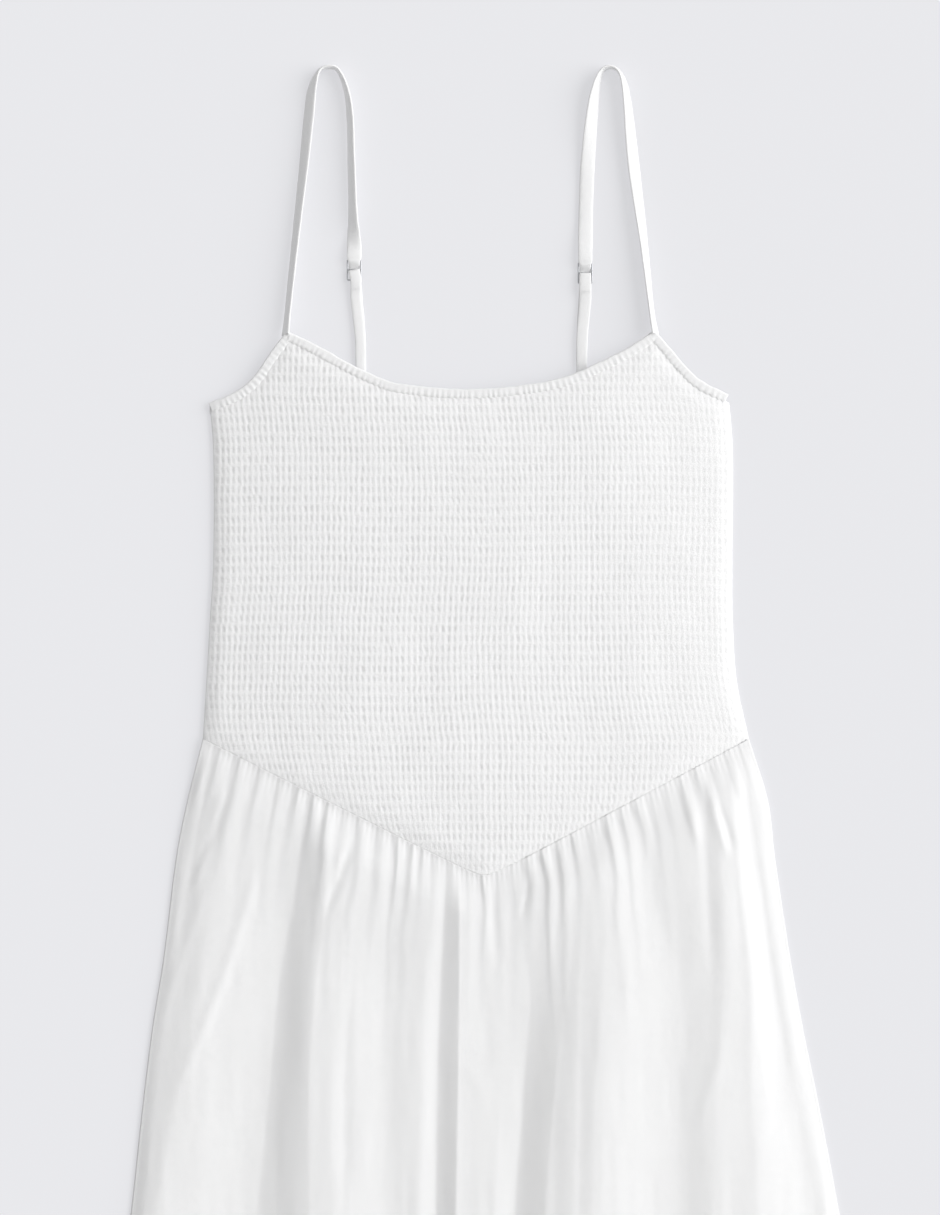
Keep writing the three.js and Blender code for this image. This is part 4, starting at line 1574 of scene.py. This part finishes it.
FOLDS = (
    Fold("rolled edge", (-195.6, -208.7, -222.5, -234.9, -246, -254.3), (0.7, 0.6, 0.6), 0.9),
    Fold("broad crest", (-172.8, -188, -195.6, -209.4, -226.7, -234.9), (2, 3, 3.5), 0.9),
    Fold("first valley", (-123.9, -132.1, -142.5, -149.4, -157.7, -161.8), (0.9, -0.6, -1), 0.6),
    Fold("first great crest", (-108, -110.7, -117, -121.8, -121.1, -120.4), (3.6, 6.2, 7.6), 0.6),
    Fold("brow behind it", (-96.9, -99.7, -101.1, -106.6, -107.3, -106.6), (3.4, 6.4, 7.9), 0.9),
    Fold("first slope", (-85.9, -85.9, -90.7, -96.3, -95.6, -94.2), (2.9, 5.6, 6.8), 0.9),
    Fold("wide hollow", (-70, -65.2, -66.6, -65.2, -63.1, -61.8), (2, 3.8, 4.2), 0.9),
    Fold("low crest", (-42.4, -41.7, -43.1, -45.9, -47.3, -48), (2.6, 4.4, 4.8), 0.9),
    Fold("second valley", (-29.3, -28.6, -31.4, -33.8, -34.8, -36.9), (1.6, 2.8, 3), 0.4),
    Fold("second great crest", (-19, -19, -19, -19.7, -21, -21), (3.7, 6.9, 8.1), -0.1),
    Fold("flat behind it", (-4.5, -5.9, -1, 4.5, 3.8, 2.4), (2.8, 5.7, 8.5), 0.9),
    Fold("third valley", (12.8, 17.6, 29.3, 25.9, 19.3, 16.6), (2.4, 4.6, 6), 0.4),
    Fold("third great crest", (58.3, 57.6, 54.8, 46.9, 40, 36.6), (3.8, 9.6, 11.8), 0.2),
    Fold("ledge", (66.6, 67.3, 64.5, 63.1, 61.8, 62.4), (3.6, 11.3, 13.4), 0.9),
    Fold("ledge's brow", (78.3, 81.1, 79.7, 74.2, 72.1, 71.4), (3.8, 12.2, 14.2), 0.8),
    Fold("long slope's foot", (100.4, 116.3, 133.5, 132.1, 130.8, 130.8), (2.2, 6.2, 7.4), 0.9),
    Fold("low ridge", (151.5, 162.5, 162.5, 158.4, 155.6, 155.6), (3.4, 8.3, 9.4), 0.6),
    Fold("shoulder", (166.6, 173.5, 179.7, 180.4, 183.2, 187.3), (3, 7.2, 8.9), 0.9),
    Fold("side slope", (180.4, 190.8, 199.1, 211.5, 228.7, 241.2), (0.9, 1.4, 1.6), 0.9),
)

CREASES = (
    Crease("long diagonal", (-155.6, -103), (-214, -267), 1.25, 4.5, 4),
    Crease("outer diagonal", (-190, -115), (-225, -220), 0.8, 4.5),
    Crease("left gather's trough", (-171, -39), (-201, -115), -1.8, 4, 2),
    Crease("left gather's crest", (-192, -30), (-204, -71), 1.4, 3.5),
    Crease("second gather's crest", (-179, -56), (-202.5, -131), 1.5, 4),
    Crease("valley's lip", (-91.5, -92), (-111, -145.5), -1.6, 3.5),
    Crease("thin pleat", (31, -109), (24, -148), -1.2, 2.5),
    Crease("flat's crease", (-15, -245), (0, -272), 0.6, 5),
    Crease("point's trough", (2.4, -129), (8, -176), -1.3, 4),
    Crease("right strong crest", (150, -45), (165, -104), 1.8, 3.5),
    Crease("right dark trough", (159, -68), (170, -100), -1.6, 3),
    Crease("right outer crest", (166.5, -30), (176, -65), 1.4, 3),
    Crease("right trough", (148, -43), (155, -185), -1.2, 4.5),
    Crease("right inner crest", (137, -50), (144, -93), 1.3, 3.5),
    Crease("lower faint ridge", (163, -231), (145, -289), 0.9, 5),
)

# Places across, along the V seam, where the crests of the small gathers stand.
GATHER_CRESTS = (
    -192.9, -181.8, -168, -153, -139, -128.7, -116.3, -108, -95.6, -85.9, -70, -59.7, -51.4, -43,
    -34.9, -23.8, -11.4, -1.7, 9.3, 17.6, 28.6, 40.4, 48, 61, 71.4, 82.5, 93.5, 103.2, 112.8,
    122.5, 133, 143.9, 155.3, 166.6, 176.3,
)


@dataclass
class SkirtFront:
    """The gathered front of the skirt, a thin shell with the photographed folds."""

    columns: int = 440
    rows: int = 104
    thickness: float = 1.0
    hem_depth: float = 12.0
    row_crowding: float = 1.7
    settle: float = 34.0
    gather_height: float = 0.95
    gather_reach: float = 34.0
    gather_sizes: tuple = (0.2, 1.4)
    gather_reaches: tuple = (0.35, 1.9)
    gather_full_at: tuple = (3.0, 15.0)
    steep_share: float = 0.36
    ruck_height: float = 0.16
    ruck_pitch: float = 3.4
    ruck_reach: float = 7.0
    seam_clearance: float = 0.05
    roll_height: float = 0.3
    roll_reach: float = 2.0
    side_thinning: float = 1.2
    thinning_reach: float = 4.0
    usual_width: float = 500.0
    deepest_fold: float = 1.0
    usual_length: float = 400.0
    hem_thickening: float = 0.6
    lowest_inside: float = 1.3
    hem_stitch_lift: float = 0.05
    seam_stitch_above: float = 0.7
    seam_stitch_lift: float = 1.5
    cut_width: float = 640.0
    cut_length: float = 417.0
    cut_area: float = 237000.0

    def plan(self, u: Array, v: Array) -> tuple[Array, Array]:
        """Place in plan of the skirt's cloth.

        Args:
            u: share across.
            v: share of the way down from the V seam to the hem.

        Returns:
            The x and y of each point.
        """
        left, right = PATTERN.bodice_sides(PATTERN.waist_y)
        seam = PATTERN.seam(lerp(left, right, u)) - self.seam_clearance
        hem = PATTERN.hem_y + PATTERN.hem_rise * (2 * u - 1) ** 2
        side_y = lerp(PATTERN.waist_y, PATTERN.side_levels[0], v)
        low, high = PATTERN.skirt_sides(side_y)
        return lerp(low, high, u), lerp(seam, hem, v)

    def folds(self, x: Array, y: Array, v: Array) -> Array:
        """Height of the long folds.

        Args:
            x: places across.
            y: places along.
            v: share of the way from the seam to the hem.

        Returns:
            The height at each place.
        """
        left, right = PATTERN.skirt_sides(y)
        rising = tuple(reversed(LEVELS))
        places = [left] + [smooth_through(rising, fold.xs[::-1], y) for fold in FOLDS] + [right]
        rises = [np.zeros_like(x)]
        rises += [smooth_through(RISE_STOPS, fold.rises, v) for fold in FOLDS]
        rises += [np.zeros_like(x)]
        softs = [0.5] + [fold.soft for fold in FOLDS] + [0.5]
        height = np.zeros_like(x)
        for k in range(len(places) - 1):
            span = np.maximum(places[k + 1] - places[k], 0.5)
            t = (x - places[k]) / span
            inside = (t >= 0) & (t < 1)
            t = np.clip(t, 0, 1)
            leave = (1 - softs[k]) * (t**3 - 2 * t**2 + t)
            arrive = (1 - softs[k + 1]) * (t**3 - t**2)
            ease = 3 * t**2 - 2 * t**3 + leave + arrive
            height = np.where(inside, lerp(rises[k], rises[k + 1], ease), height)
        return height

    def gathers(self, u: Array, drop: Array) -> Array:
        """Height of the small gathers at the V seam.

        Args:
            u: share across.
            drop: distance below the seam.

        Returns:
            The height at each place.
        """
        left, right = PATTERN.bodice_sides(PATTERN.waist_y)
        crests = np.array([left - 4, *GATHER_CRESTS, right + 4])
        valleys = (crests[1:] * 0.62 + crests[:-1] * 0.38)
        at = lerp(left, right, u) + 1.2 * Unevenness(51).at(u * 60, drop / 22)
        cell = np.clip(np.searchsorted(valleys, at) - 1, 0, len(valleys) - 2)
        share = np.clip((at - valleys[cell]) / (valleys[cell + 1] - valleys[cell]), 0, 1)
        steep = smoothstep(share, 0.0, self.steep_share)
        gentle = 1 - smoothstep(share, self.steep_share, 1.0)
        draw = np.random.default_rng(61)
        size = draw.uniform(*self.gather_sizes, len(crests))
        reach = self.gather_reach * draw.uniform(*self.gather_reaches, len(crests))
        full_at = draw.uniform(*self.gather_full_at, len(crests))
        fade = np.exp(-((drop / reach[cell]) ** 1.3))
        fade = fade * lerp(0.5, 1.0, smoothstep(drop, 0.0, full_at[cell]))
        rucks = self.ruck_height * np.sin(lerp(left, right, u) * 2 * math.pi / self.ruck_pitch)
        rucks = rucks * np.exp(-drop / self.ruck_reach)
        return self.gather_height * size[cell] * np.minimum(steep, gentle) * fade + rucks

    def creases(self, x: Array, y: Array) -> Array:
        """Height of the short creases.

        Args:
            x: places across.
            y: places along.

        Returns:
            The height that they add.
        """
        height = np.zeros_like(x)
        for crease in CREASES:
            start, end = np.array(crease.start), np.array(crease.end)
            length = np.linalg.norm(end - start)
            way = (end - start) / length
            along = ((x - start[0]) * way[0] + (y - start[1]) * way[1]) / length
            aside = (x - start[0]) * -way[1] + (y - start[1]) * way[0]
            aside = aside - crease.bow * 4 * along * (1 - along)
            taper = smoothstep(along, -0.12, 0.25) * (1 - smoothstep(along, 0.7, 1.15))
            height = height + 0.5 * crease.rise * taper * np.exp(-((aside / crease.width) ** 2))
        return height

    def surface(self, u: Array, v: Array) -> Array:
        """Outer surface of the skirt front.

        Args:
            u: share across.
            v: share of the way from the seam to the hem.

        Returns:
            Points on the surface.
        """
        x, y = self.plan(u, v)
        drop = np.maximum(self.plan(u, np.zeros_like(v))[1] - y, 0)
        base = PATTERN.skirt_base(u, drop) + self.thickness
        settled = smoothstep(drop, 0, self.settle)
        edge = smoothstep(np.minimum(u, 1 - u), 0.0, 0.02)
        uneven = Unevenness(71)
        crinkle = 0.3 * uneven.at(x / 14 + 30, y / 95 + 10) + 0.12 * uneven.at(x / 6, y / 38)
        crinkle = crinkle * smoothstep(drop, 4, 40)
        raised = settled * self.folds(x, y, v) + self.gathers(u, drop)
        raised = raised + (self.creases(x, y) + crinkle) * settled
        seam_roll = self.roll_height * np.exp(-((drop / self.roll_reach) ** 2))
        beside = np.minimum(u, 1 - u) * self.usual_width
        thin = -self.side_thinning * np.exp(-((beside / self.thinning_reach) ** 2)) * settled
        raised = edge * np.maximum(raised, -self.deepest_fold)
        return np.stack([x, y, base + seam_roll + thin + raised], axis=-1)

    def build(self, cloth: bpy.types.Material, sewing: Seamstress) -> bpy.types.Object:
        """Cuts and gathers the panel and sews its hem.

        Args:
            cloth: the panel's material.
            sewing: sews the hem and the seam.

        Returns:
            The finished piece.
        """
        across = np.linspace(0, 1, self.columns + 1)
        down = np.linspace(1, 0, self.rows + 1) ** self.row_crowding
        u, v = np.meshgrid(across, down)
        upper = self.surface(u, v)
        above = (1 - v) * self.usual_length
        hem = smoothstep(above, self.hem_depth + 1, self.hem_depth - 1)
        depth = (self.thickness + self.hem_thickening * hem)[..., None]
        lower = upper - grid_normals(upper) * depth
        lower[..., 2] = np.maximum(lower[..., 2], self.lowest_inside)
        cut = np.stack([u * self.cut_width, (1 - v) * self.cut_length], axis=-1)
        piece = make_piece("skirt_front_gathered", grid_shell(upper, lower, cut), cloth)
        seat(piece, Finish.COTTON, "skirt_front")
        self.sew_seams(sewing)
        return piece

    def sew_seams(self, sewing: Seamstress) -> None:
        """Sews the V seam and the hem.

        Args:
            sewing: sews the rows.
        """
        across = np.linspace(0.004, 0.996, 900)
        share = 1 - self.hem_depth / self.usual_length
        hem = self.surface(across, np.full_like(across, share))
        hem[:, 2] += self.hem_stitch_lift
        sewing.sew("hem_stitches", [hem], Finish.COTTON, pitch=3.0, length=2.2, radius=0.17, seed=3)
        left, right = PATTERN.bodice_sides(PATTERN.waist_y)
        x = np.linspace(left + 2, right - 2, 600)
        y = PATTERN.seam(x) + self.seam_stitch_above
        seam = np.column_stack([x, y, PATTERN.inner(x, y) + self.seam_stitch_lift])
        sewing.sew("waist_seam_stitches", [seam], Finish.COTTON, pitch=2.8, length=1.7,
                   radius=0.2, seed=4)


@dataclass
class SkirtBack:
    """The back of the skirt, flat on the surface between low folds."""

    columns: int = 260
    rows: int = 60
    thickness: float = 1.2
    row_crowding: float = 1.4
    fold_height: float = 2.0
    folds: int = 17
    cut_width: float = 620.0
    cut_length: float = 417.0
    cut_area: float = 229000.0

    def build(self, cloth: bpy.types.Material, plan: Callable) -> bpy.types.Object:
        """Cuts the panel and presses it under the front.

        Args:
            cloth: the panel's material.
            plan: place in plan of a share across and a share down.

        Returns:
            The finished piece.
        """
        across = np.linspace(0, 1, self.columns + 1)
        down = np.linspace(1, 0, self.rows + 1) ** self.row_crowding
        u, v = np.meshgrid(across, down)
        x, y = plan(u, v)
        uneven = Unevenness(81)
        place = self.folds * math.pi * (u + 0.012 * uneven.at(u * 9, v * 3))
        fold = np.maximum(0, np.sin(place)) ** 2 * smoothstep(v, 0.1, 0.5)
        side = 1 - np.abs(2 * u - 1) ** 8
        height = self.fold_height * fold * side * (0.8 + 0.2 * uneven.at(u * 20, v * 4))
        lower = np.stack([x, y, height], axis=-1)
        upper = lower + np.array([0, 0, self.thickness])
        cut = np.stack([u * self.cut_width, (1 - v) * self.cut_length], axis=-1)
        piece = make_piece("skirt_back_gathered", grid_shell(upper, lower, cut), cloth)
        seat(piece, Finish.COTTON, "skirt_back")
        return piece


@dataclass(frozen=True)
class SliderSize:
    """The slider: a flat frame with two windows."""

    length: float = 15.0
    width: float = 10.4
    rail: float = 1.0
    thick: float = 1.1
    corner: float = 1.0
    level: float = 1.7
    edge: float = 0.3


def oblong(width: float, height: float, radius: float, x: float, y: float) -> list[tuple]:
    """Outline of an oblong with round corners.

    Args:
        width: its width.
        height: its height.
        radius: its corners' radius.
        x: place of its middle across.
        y: place of its middle along.

    Returns:
        Points round the outline.
    """
    points = []
    for quarter in range(4):
        sx = 1 if quarter in (0, 3) else -1
        sy = 1 if quarter in (0, 1) else -1
        for step in range(7):
            turn = math.pi / 2 * (quarter + step / 6)
            points.append((x + sx * (width / 2 - radius) + radius * math.cos(turn),
                           y + sy * (height / 2 - radius) + radius * math.sin(turn)))
    return points


@dataclass
class Slider:
    """A metal slider on a strap."""

    side: Side
    x: float
    y: float
    size: SliderSize = SliderSize()

    def build(self, metal: bpy.types.Material) -> bpy.types.Object:
        """Makes the frame with softened edges.

        Args:
            metal: the frame's material.

        Returns:
            The finished piece.
        """
        s = self.size
        name = f"slider_{self.side.name.lower()}"
        window = (s.length - 3 * s.rail) / 2
        e = s.edge
        outlines = [oblong(s.width - 2 * e, s.length - 2 * e, s.corner, self.x, self.y)]
        for sign in (-1, 1):
            middle = self.y + sign * (window + s.rail) / 2
            outlines.append(oblong(s.width - 2 * s.rail + 2 * e, window + 2 * e, s.corner / 2,
                                   self.x, middle))
        curve = bpy.data.curves.new(name + "_frame", "CURVE")
        curve.dimensions = "2D"
        curve.fill_mode = "BOTH"
        for outline in outlines:
            ring = curve.splines.new("POLY")
            ring.points.add(len(outline) - 1)
            for point, (x, y) in zip(ring.points, outline):
                point.co = (x * MM, y * MM, 0, 1)
            ring.use_cyclic_u = True
        curve.extrude = (s.thick / 2 - e) * MM
        curve.bevel_depth = e * MM
        curve.bevel_resolution = 3
        piece = bpy.data.objects.new(name + "_frame", curve)
        bpy.context.collection.objects.link(piece)
        shape = self.as_mesh(piece, name + "_frame")
        shape.data.materials.append(metal)
        seat(shape, Finish.METAL, name)
        return shape

    def as_mesh(self, outline: bpy.types.Object, name: str) -> bpy.types.Object:
        """Turns the filled outline into a closed mesh at its level.

        Args:
            outline: the curve object, which is removed.
            name: the new piece's name.

        Returns:
            The mesh object.
        """
        result = outline.evaluated_get(bpy.context.evaluated_depsgraph_get())
        mesh = bpy.data.meshes.new_from_object(result)
        bpy.data.objects.remove(outline)
        solid = bmesh.new()
        solid.from_mesh(mesh)
        bmesh.ops.remove_doubles(solid, verts=solid.verts, dist=1e-6)
        level = (self.size.level + self.size.thick / 2) * MM
        bmesh.ops.translate(solid, verts=solid.verts, vec=(0, 0, level))
        bmesh.ops.recalc_face_normals(solid, faces=solid.faces)
        solid.to_mesh(mesh)
        solid.free()
        mesh.name = name
        mesh.materials.clear()
        mesh.shade_smooth()
        piece = bpy.data.objects.new(name, mesh)
        bpy.context.collection.objects.link(piece)
        return piece


@dataclass(frozen=True)
class Turn:
    """A row of a strap's route: place, tilt about its length, and height off the surface."""

    x: float
    y: float
    tilt: float
    lift: float = 0.0


LEFT_LOOP = (
    Turn(-138.4, 254.5, 60, 2.2), Turn(-137.3, 266, 66, 0.6), Turn(-133.8, 300, 63, 0.2),
    Turn(-129.9, 335.4, 57), Turn(-125.9, 370.6, 50), Turn(-122.3, 405.9, 44),
    Turn(-120.2, 424, 52), Turn(-115.6, 436.4, 80), Turn(-109.6, 439.1, 90),
    Turn(-102.8, 437.4, 96), Turn(-97, 425, 106), Turn(-94.1, 405.9, 116),
    Turn(-93, 370.6, 121), Turn(-92, 337, 130),
)
RIGHT_LOOP = (
    Turn(116.2, 255, 64, 2.2), Turn(114.2, 267, 70, 0.6), Turn(112.2, 283, 68, 0.2),
    Turn(108.3, 317.9, 57), Turn(101.4, 370.6, 36), Turn(96.9, 415, 56), Turn(94.2, 430, 70),
    Turn(90, 437.2, 84), Turn(84.8, 439.1, 90), Turn(79.4, 436.4, 100), Turn(75.6, 426, 120),
    Turn(72.8, 408, 144), Turn(69.6, 370.6, 172), Turn(68.4, 337, 176),
)


@dataclass
class Strap:
    """A turned tube of cloth from the front of the bodice, through its slider, to the back."""

    side: Side
    loop: tuple
    slider: Slider
    foot_x: float
    width: float = 10.0
    thick: float = 2.3
    flat_thick: float = 1.4
    cloth: float = 0.35
    narrow: float = 7.8
    below: float = 8.4
    foot: float = 7.0
    foot_tuck: float = 1.5
    straight_from: float = 250.0
    tack_below: float = 5.0
    tack_rows: tuple = (0.0, 0.9)
    tack_sink: float = 0.25
    shift: float = 0.0
    step: float = 1.3
    ring: int = 20

    def half_height(self, tilt: Array, width: Array, thick: Array) -> Array:
        """Half the height of the strap where it is turned by tilt."""
        angle = np.radians(tilt)
        return (width * np.abs(np.sin(angle)) + thick * np.abs(np.cos(angle))) / 2

    def main_route(self) -> list[tuple]:
        """Route of the strap from the front to the back edge.

        Returns:
            Rows of x, y, z, tilt, width and thickness.
        """
        size = self.slider.size
        bar = (size.length - size.rail) / 2
        under = self.flat_thick / 2
        over = size.level + size.thick + PATTERN.seam_gap + self.flat_thick / 2
        x, y = self.slider.x, self.slider.y
        rows = [(t.x, t.y, self.half_height(t.tilt, self.width, self.thick) + t.lift, t.tilt,
                 self.width, self.thick) for t in self.loop]
        flat = self.flat_thick
        return rows + [
            (x, y + bar + 8, over - 0.5, 176, self.width, 1.9),
            (x, y + bar + 2, over + 0.1, 180, self.width, 1.6),
            (x, y + bar, over, 180, self.width - 0.6, flat),
            (x, y + bar - 1.6, over - 0.15, 180, self.narrow, flat),
            (x, y + 1.4, under + 0.15, 180, self.narrow, flat),
            (x, y - 1, under, 180, self.narrow, flat),
            (x + self.shift, y - bar - 4, under, 180, self.below, flat),
            (self.foot_x, self.straight_from, under, 180, (self.below + self.foot) / 2, flat),
            (self.foot_x, PATTERN.back_neck_y - self.foot_tuck, under, 180, self.foot, flat),
        ]

    def return_route(self) -> list[tuple]:
        """Route of the end that is sewn round the slider's bar and runs to the back edge.

        Returns:
            Rows of x, y, z, tilt, width and thickness.
        """
        size = self.slider.size
        bar = (size.length - size.rail) / 2
        low = self.flat_thick * 1.5 + PATTERN.seam_gap
        over = size.level + size.thick + PATTERN.seam_gap + self.flat_thick / 2
        x, y = self.slider.x, self.slider.y
        flat = self.flat_thick
        return [
            (x, y, over, 0, self.narrow, flat),
            (x + self.shift, y - bar, over, 0, self.below, flat),
            (x + self.shift, y - bar - 4, over - 0.3, 0, self.below, flat),
            (x + self.shift, y - bar - 12, low, 0, self.below, flat),
            (self.foot_x, self.straight_from, low, 0, (self.below + self.foot) / 2, flat),
            (self.foot_x, PATTERN.back_neck_y - self.foot_tuck, low, 0, self.foot, flat),
        ]

    def ribbon(self, name: str, route: list[tuple], turn: int,
               cloth: bpy.types.Material) -> tuple[bpy.types.Object, float]:
        """Sweeps a hollow flattened tube along a route.

        Args:
            name: the piece's name.
            route: rows of x, y, z, tilt, width and thickness.
            turn: 1 or -1, the way that the tilt turns.
            cloth: the strap's material.

        Returns:
            The piece and its length.
        """
        rows = even_steps(spline(route, 40), self.step)
        tilt, width, thick = rows[:, 3], rows[:, 4], rows[:, 5]
        lowest = self.half_height(tilt, width, thick)
        path = np.column_stack([rows[:, :2], np.maximum(rows[:, 2], lowest)])
        along = tangents(path)
        flat = np.cross([0, 0, 1], along)
        flat = flat / np.linalg.norm(flat, axis=1, keepdims=True)
        rise = np.cross(along, flat)
        angle = np.radians(turn * tilt)[:, None]
        across = flat * np.cos(angle) + rise * np.sin(angle)
        outward = np.cross(along, across)
        length = float(np.linalg.norm(np.diff(path, axis=0), axis=1).sum())
        place = np.linspace(0, length, len(path))
        loops = [self.section(place, width, thick, 0.0), self.section(place, width, thick, self.cloth)]
        piece = make_piece(name, swept(path, across, outward, loops), cloth)
        return piece, length

    def section(self, place: Array, width: Array, thick: Array, inset: float) -> Array:
        """A flattened oval at each step, pulled in a little by its sewn edge.

        Args:
            place: distances along the strap.
            width: width at each step.
            thick: thickness at each step.
            inset: distance inside the outer face.

        Returns:
            Places across and outward, steps by points by 2.
        """
        turns = np.linspace(0, 2 * math.pi, self.ring, endpoint=False)
        cos, sin = np.cos(turns), np.sin(turns)
        uneven = Unevenness(90 + self.side.value)
        pinch = 0.12 * uneven.at(place / 7.0, np.zeros_like(place))
        half_w = (width / 2 - inset + pinch)[:, None]
        half_t = (thick / 2 - inset * 0.8)[:, None]
        w = np.sign(cos) * np.abs(cos) ** 0.75 * half_w
        crown = np.sign(sin) * np.abs(sin) ** 0.8 * half_t
        ripple = 0.06 * uneven.at(place[:, None] / 3.2 + 7, np.round(cos * 2)[None, :] + 9)
        return np.stack([w, crown * (1 + ripple)], axis=-1)

    def build(self, cloth: bpy.types.Material, sewing: Seamstress) -> None:
        """Makes the strap, its turned-back end and the stitches that hold it.

        Args:
            cloth: the strap's material.
            sewing: sews the bar tacks.
        """
        name = self.side.name.lower()
        main, length = self.ribbon(f"strap_{name}_tube", self.main_route(), self.side.value, cloth)
        seat(main, Finish.COTTON, f"strap_{name}")
        back, short = self.ribbon(f"strap_return_{name}_tube", self.return_route(), 1, cloth)
        seat(back, Finish.COTTON, f"strap_return_{name}")
        size = self.slider.size
        y = self.slider.y - size.length / 2 - self.tack_below
        reach = self.below / 2 - 1
        x = self.slider.x + self.shift + np.linspace(-reach, reach, 12)
        over = size.level + size.thick + PATTERN.seam_gap + self.flat_thick
        tacks = [np.column_stack([x, np.full_like(x, y - row), np.full_like(x, over - self.tack_sink)])
                 for row in self.tack_rows]
        sewing.sew(f"strap_tack_{name}", tacks, Finish.COTTON, pitch=1.2, length=1.0,
                   radius=0.15, seed=6)


@dataclass
class Studio:
    """A pale floor, soft light from the right and the camera straight above."""

    view_x: float = -11.4
    view_y: float = 67.1
    view_height: float = 838.4
    distance: float = 2200.0
    sun_strength: float = 2.95
    sun_elevation: float = 30.0
    sun_azimuth: float = 12.0
    sun_size: float = 55.0
    sky: float = 0.57

    def build(self, floor: bpy.types.Material) -> None:
        """Sets the studio up.

        Args:
            floor: the floor's material.
        """
        self.lay_floor(floor)
        self.hang_light()
        self.fill()
        self.place_camera()
        bpy.context.scene.view_settings.view_transform = "Standard"

    def lay_floor(self, material: bpy.types.Material) -> None:
        """Lays the floor just under the dress.

        Args:
            material: the floor's material.
        """
        half, level = 6.0, -0.0002
        mesh = bpy.data.meshes.new("studio_floor")
        corners = [(-half, -half, level), (half, -half, level),
                   (half, half, level), (-half, half, level)]
        mesh.from_pydata(corners, [], [(0, 1, 2, 3)])
        mesh.materials.append(material)
        floor = bpy.data.objects.new("studio_floor", mesh)
        bpy.context.collection.objects.link(floor)

    def hang_light(self) -> None:
        """Hangs the broad soft light on the right."""
        light = bpy.data.lights.new("studio_light", "SUN")
        light.energy = self.sun_strength
        light.angle = math.radians(self.sun_size)
        lamp = bpy.data.objects.new("studio_light", light)
        lamp.rotation_mode = "XYZ"
        tilt = math.radians(90 - self.sun_elevation)
        lamp.rotation_euler = (0.0, tilt, math.radians(self.sun_azimuth))
        bpy.context.collection.objects.link(lamp)

    def fill(self) -> None:
        """Lights the rest from all round."""
        world = bpy.data.worlds.new("studio_fill")
        world.use_nodes = True
        background = world.node_tree.nodes["Background"]
        background.inputs["Color"].default_value = (1.0, 1.0, 1.0, 1.0)
        background.inputs["Strength"].default_value = self.sky
        bpy.context.scene.world = world

    def place_camera(self) -> None:
        """Looks straight down on the bodice and the upper skirt."""
        data = bpy.data.cameras.new("camera")
        data.lens = data.sensor_width * self.distance / self.view_height
        data.clip_end = 50.0
        camera = bpy.data.objects.new("camera", data)
        camera.location = (self.view_x * MM, self.view_y * MM, self.distance * MM)
        bpy.context.collection.objects.link(camera)
        bpy.context.scene.camera = camera


@dataclass
class Bindings:
    """The folded strips along the bodice's upper edges."""

    def strips(self) -> list[Binding]:
        """Strips of the neckline, the armholes and the back's top edge.

        Returns:
            The strips in the order in which they are sewn.
        """
        left, right = PATTERN.bodice_sides(PATTERN.back_neck_y)
        y = PATTERN.back_neck_y
        back = tuple((x, y) for x in np.linspace(float(left), float(right), 5))
        return [
            Binding("binding_armhole_left", "armhole_binding_left", PATTERN.armhole_left, seed=1),
            Binding("binding_armhole_right", "armhole_binding_right", PATTERN.armhole_right, seed=2),
            Binding("binding_neckline", "neckline_binding", PATTERN.neckline, 2.5, 2.5, seed=3),
            Binding("binding_back", "back_neck_binding", back, level=0.0, thick=2.0, seed=4,
                    rib_height=0.0, step=2.0),
        ]

    def build(self, cloth: bpy.types.Material, sewing: Seamstress) -> None:
        """Folds and sews every strip.

        Args:
            cloth: the strips' material.
            sewing: sews them down.
        """
        for strip in self.strips():
            strip.build(cloth, sewing)


def main() -> None:
    """Builds the studio and then the dress, piece by piece."""
    logging.basicConfig(level=logging.INFO, format="%(message)s")
    wardrobe = Wardrobe.dyed(Groups())
    Studio().build(wardrobe.floor)
    sewing = Seamstress(stitch_tree(), wardrobe.thread)
    front = SkirtFront()
    SkirtBack().build(wardrobe.cotton, front.plan)
    smocking = smocking_tree()
    BodiceBack().build(smocking, wardrobe.smocked)
    BodiceFront().build(smocking, wardrobe.smocked)
    front.build(wardrobe.cotton, sewing)
    Bindings().build(wardrobe.cotton, sewing)
    left = Strap(Side.LEFT, LEFT_LOOP, Slider(Side.LEFT, -91.2, 299.8), foot_x=-87.0,
                 below=7.4, shift=1.2)
    right = Strap(Side.RIGHT, RIGHT_LOOP, Slider(Side.RIGHT, 68.0, 297.6), foot_x=65.8)
    for strap in (left, right):
        strap.slider.build(wardrobe.metal)
        strap.build(wardrobe.cotton, sewing)
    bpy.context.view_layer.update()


if __name__ == "__main__":
    main()
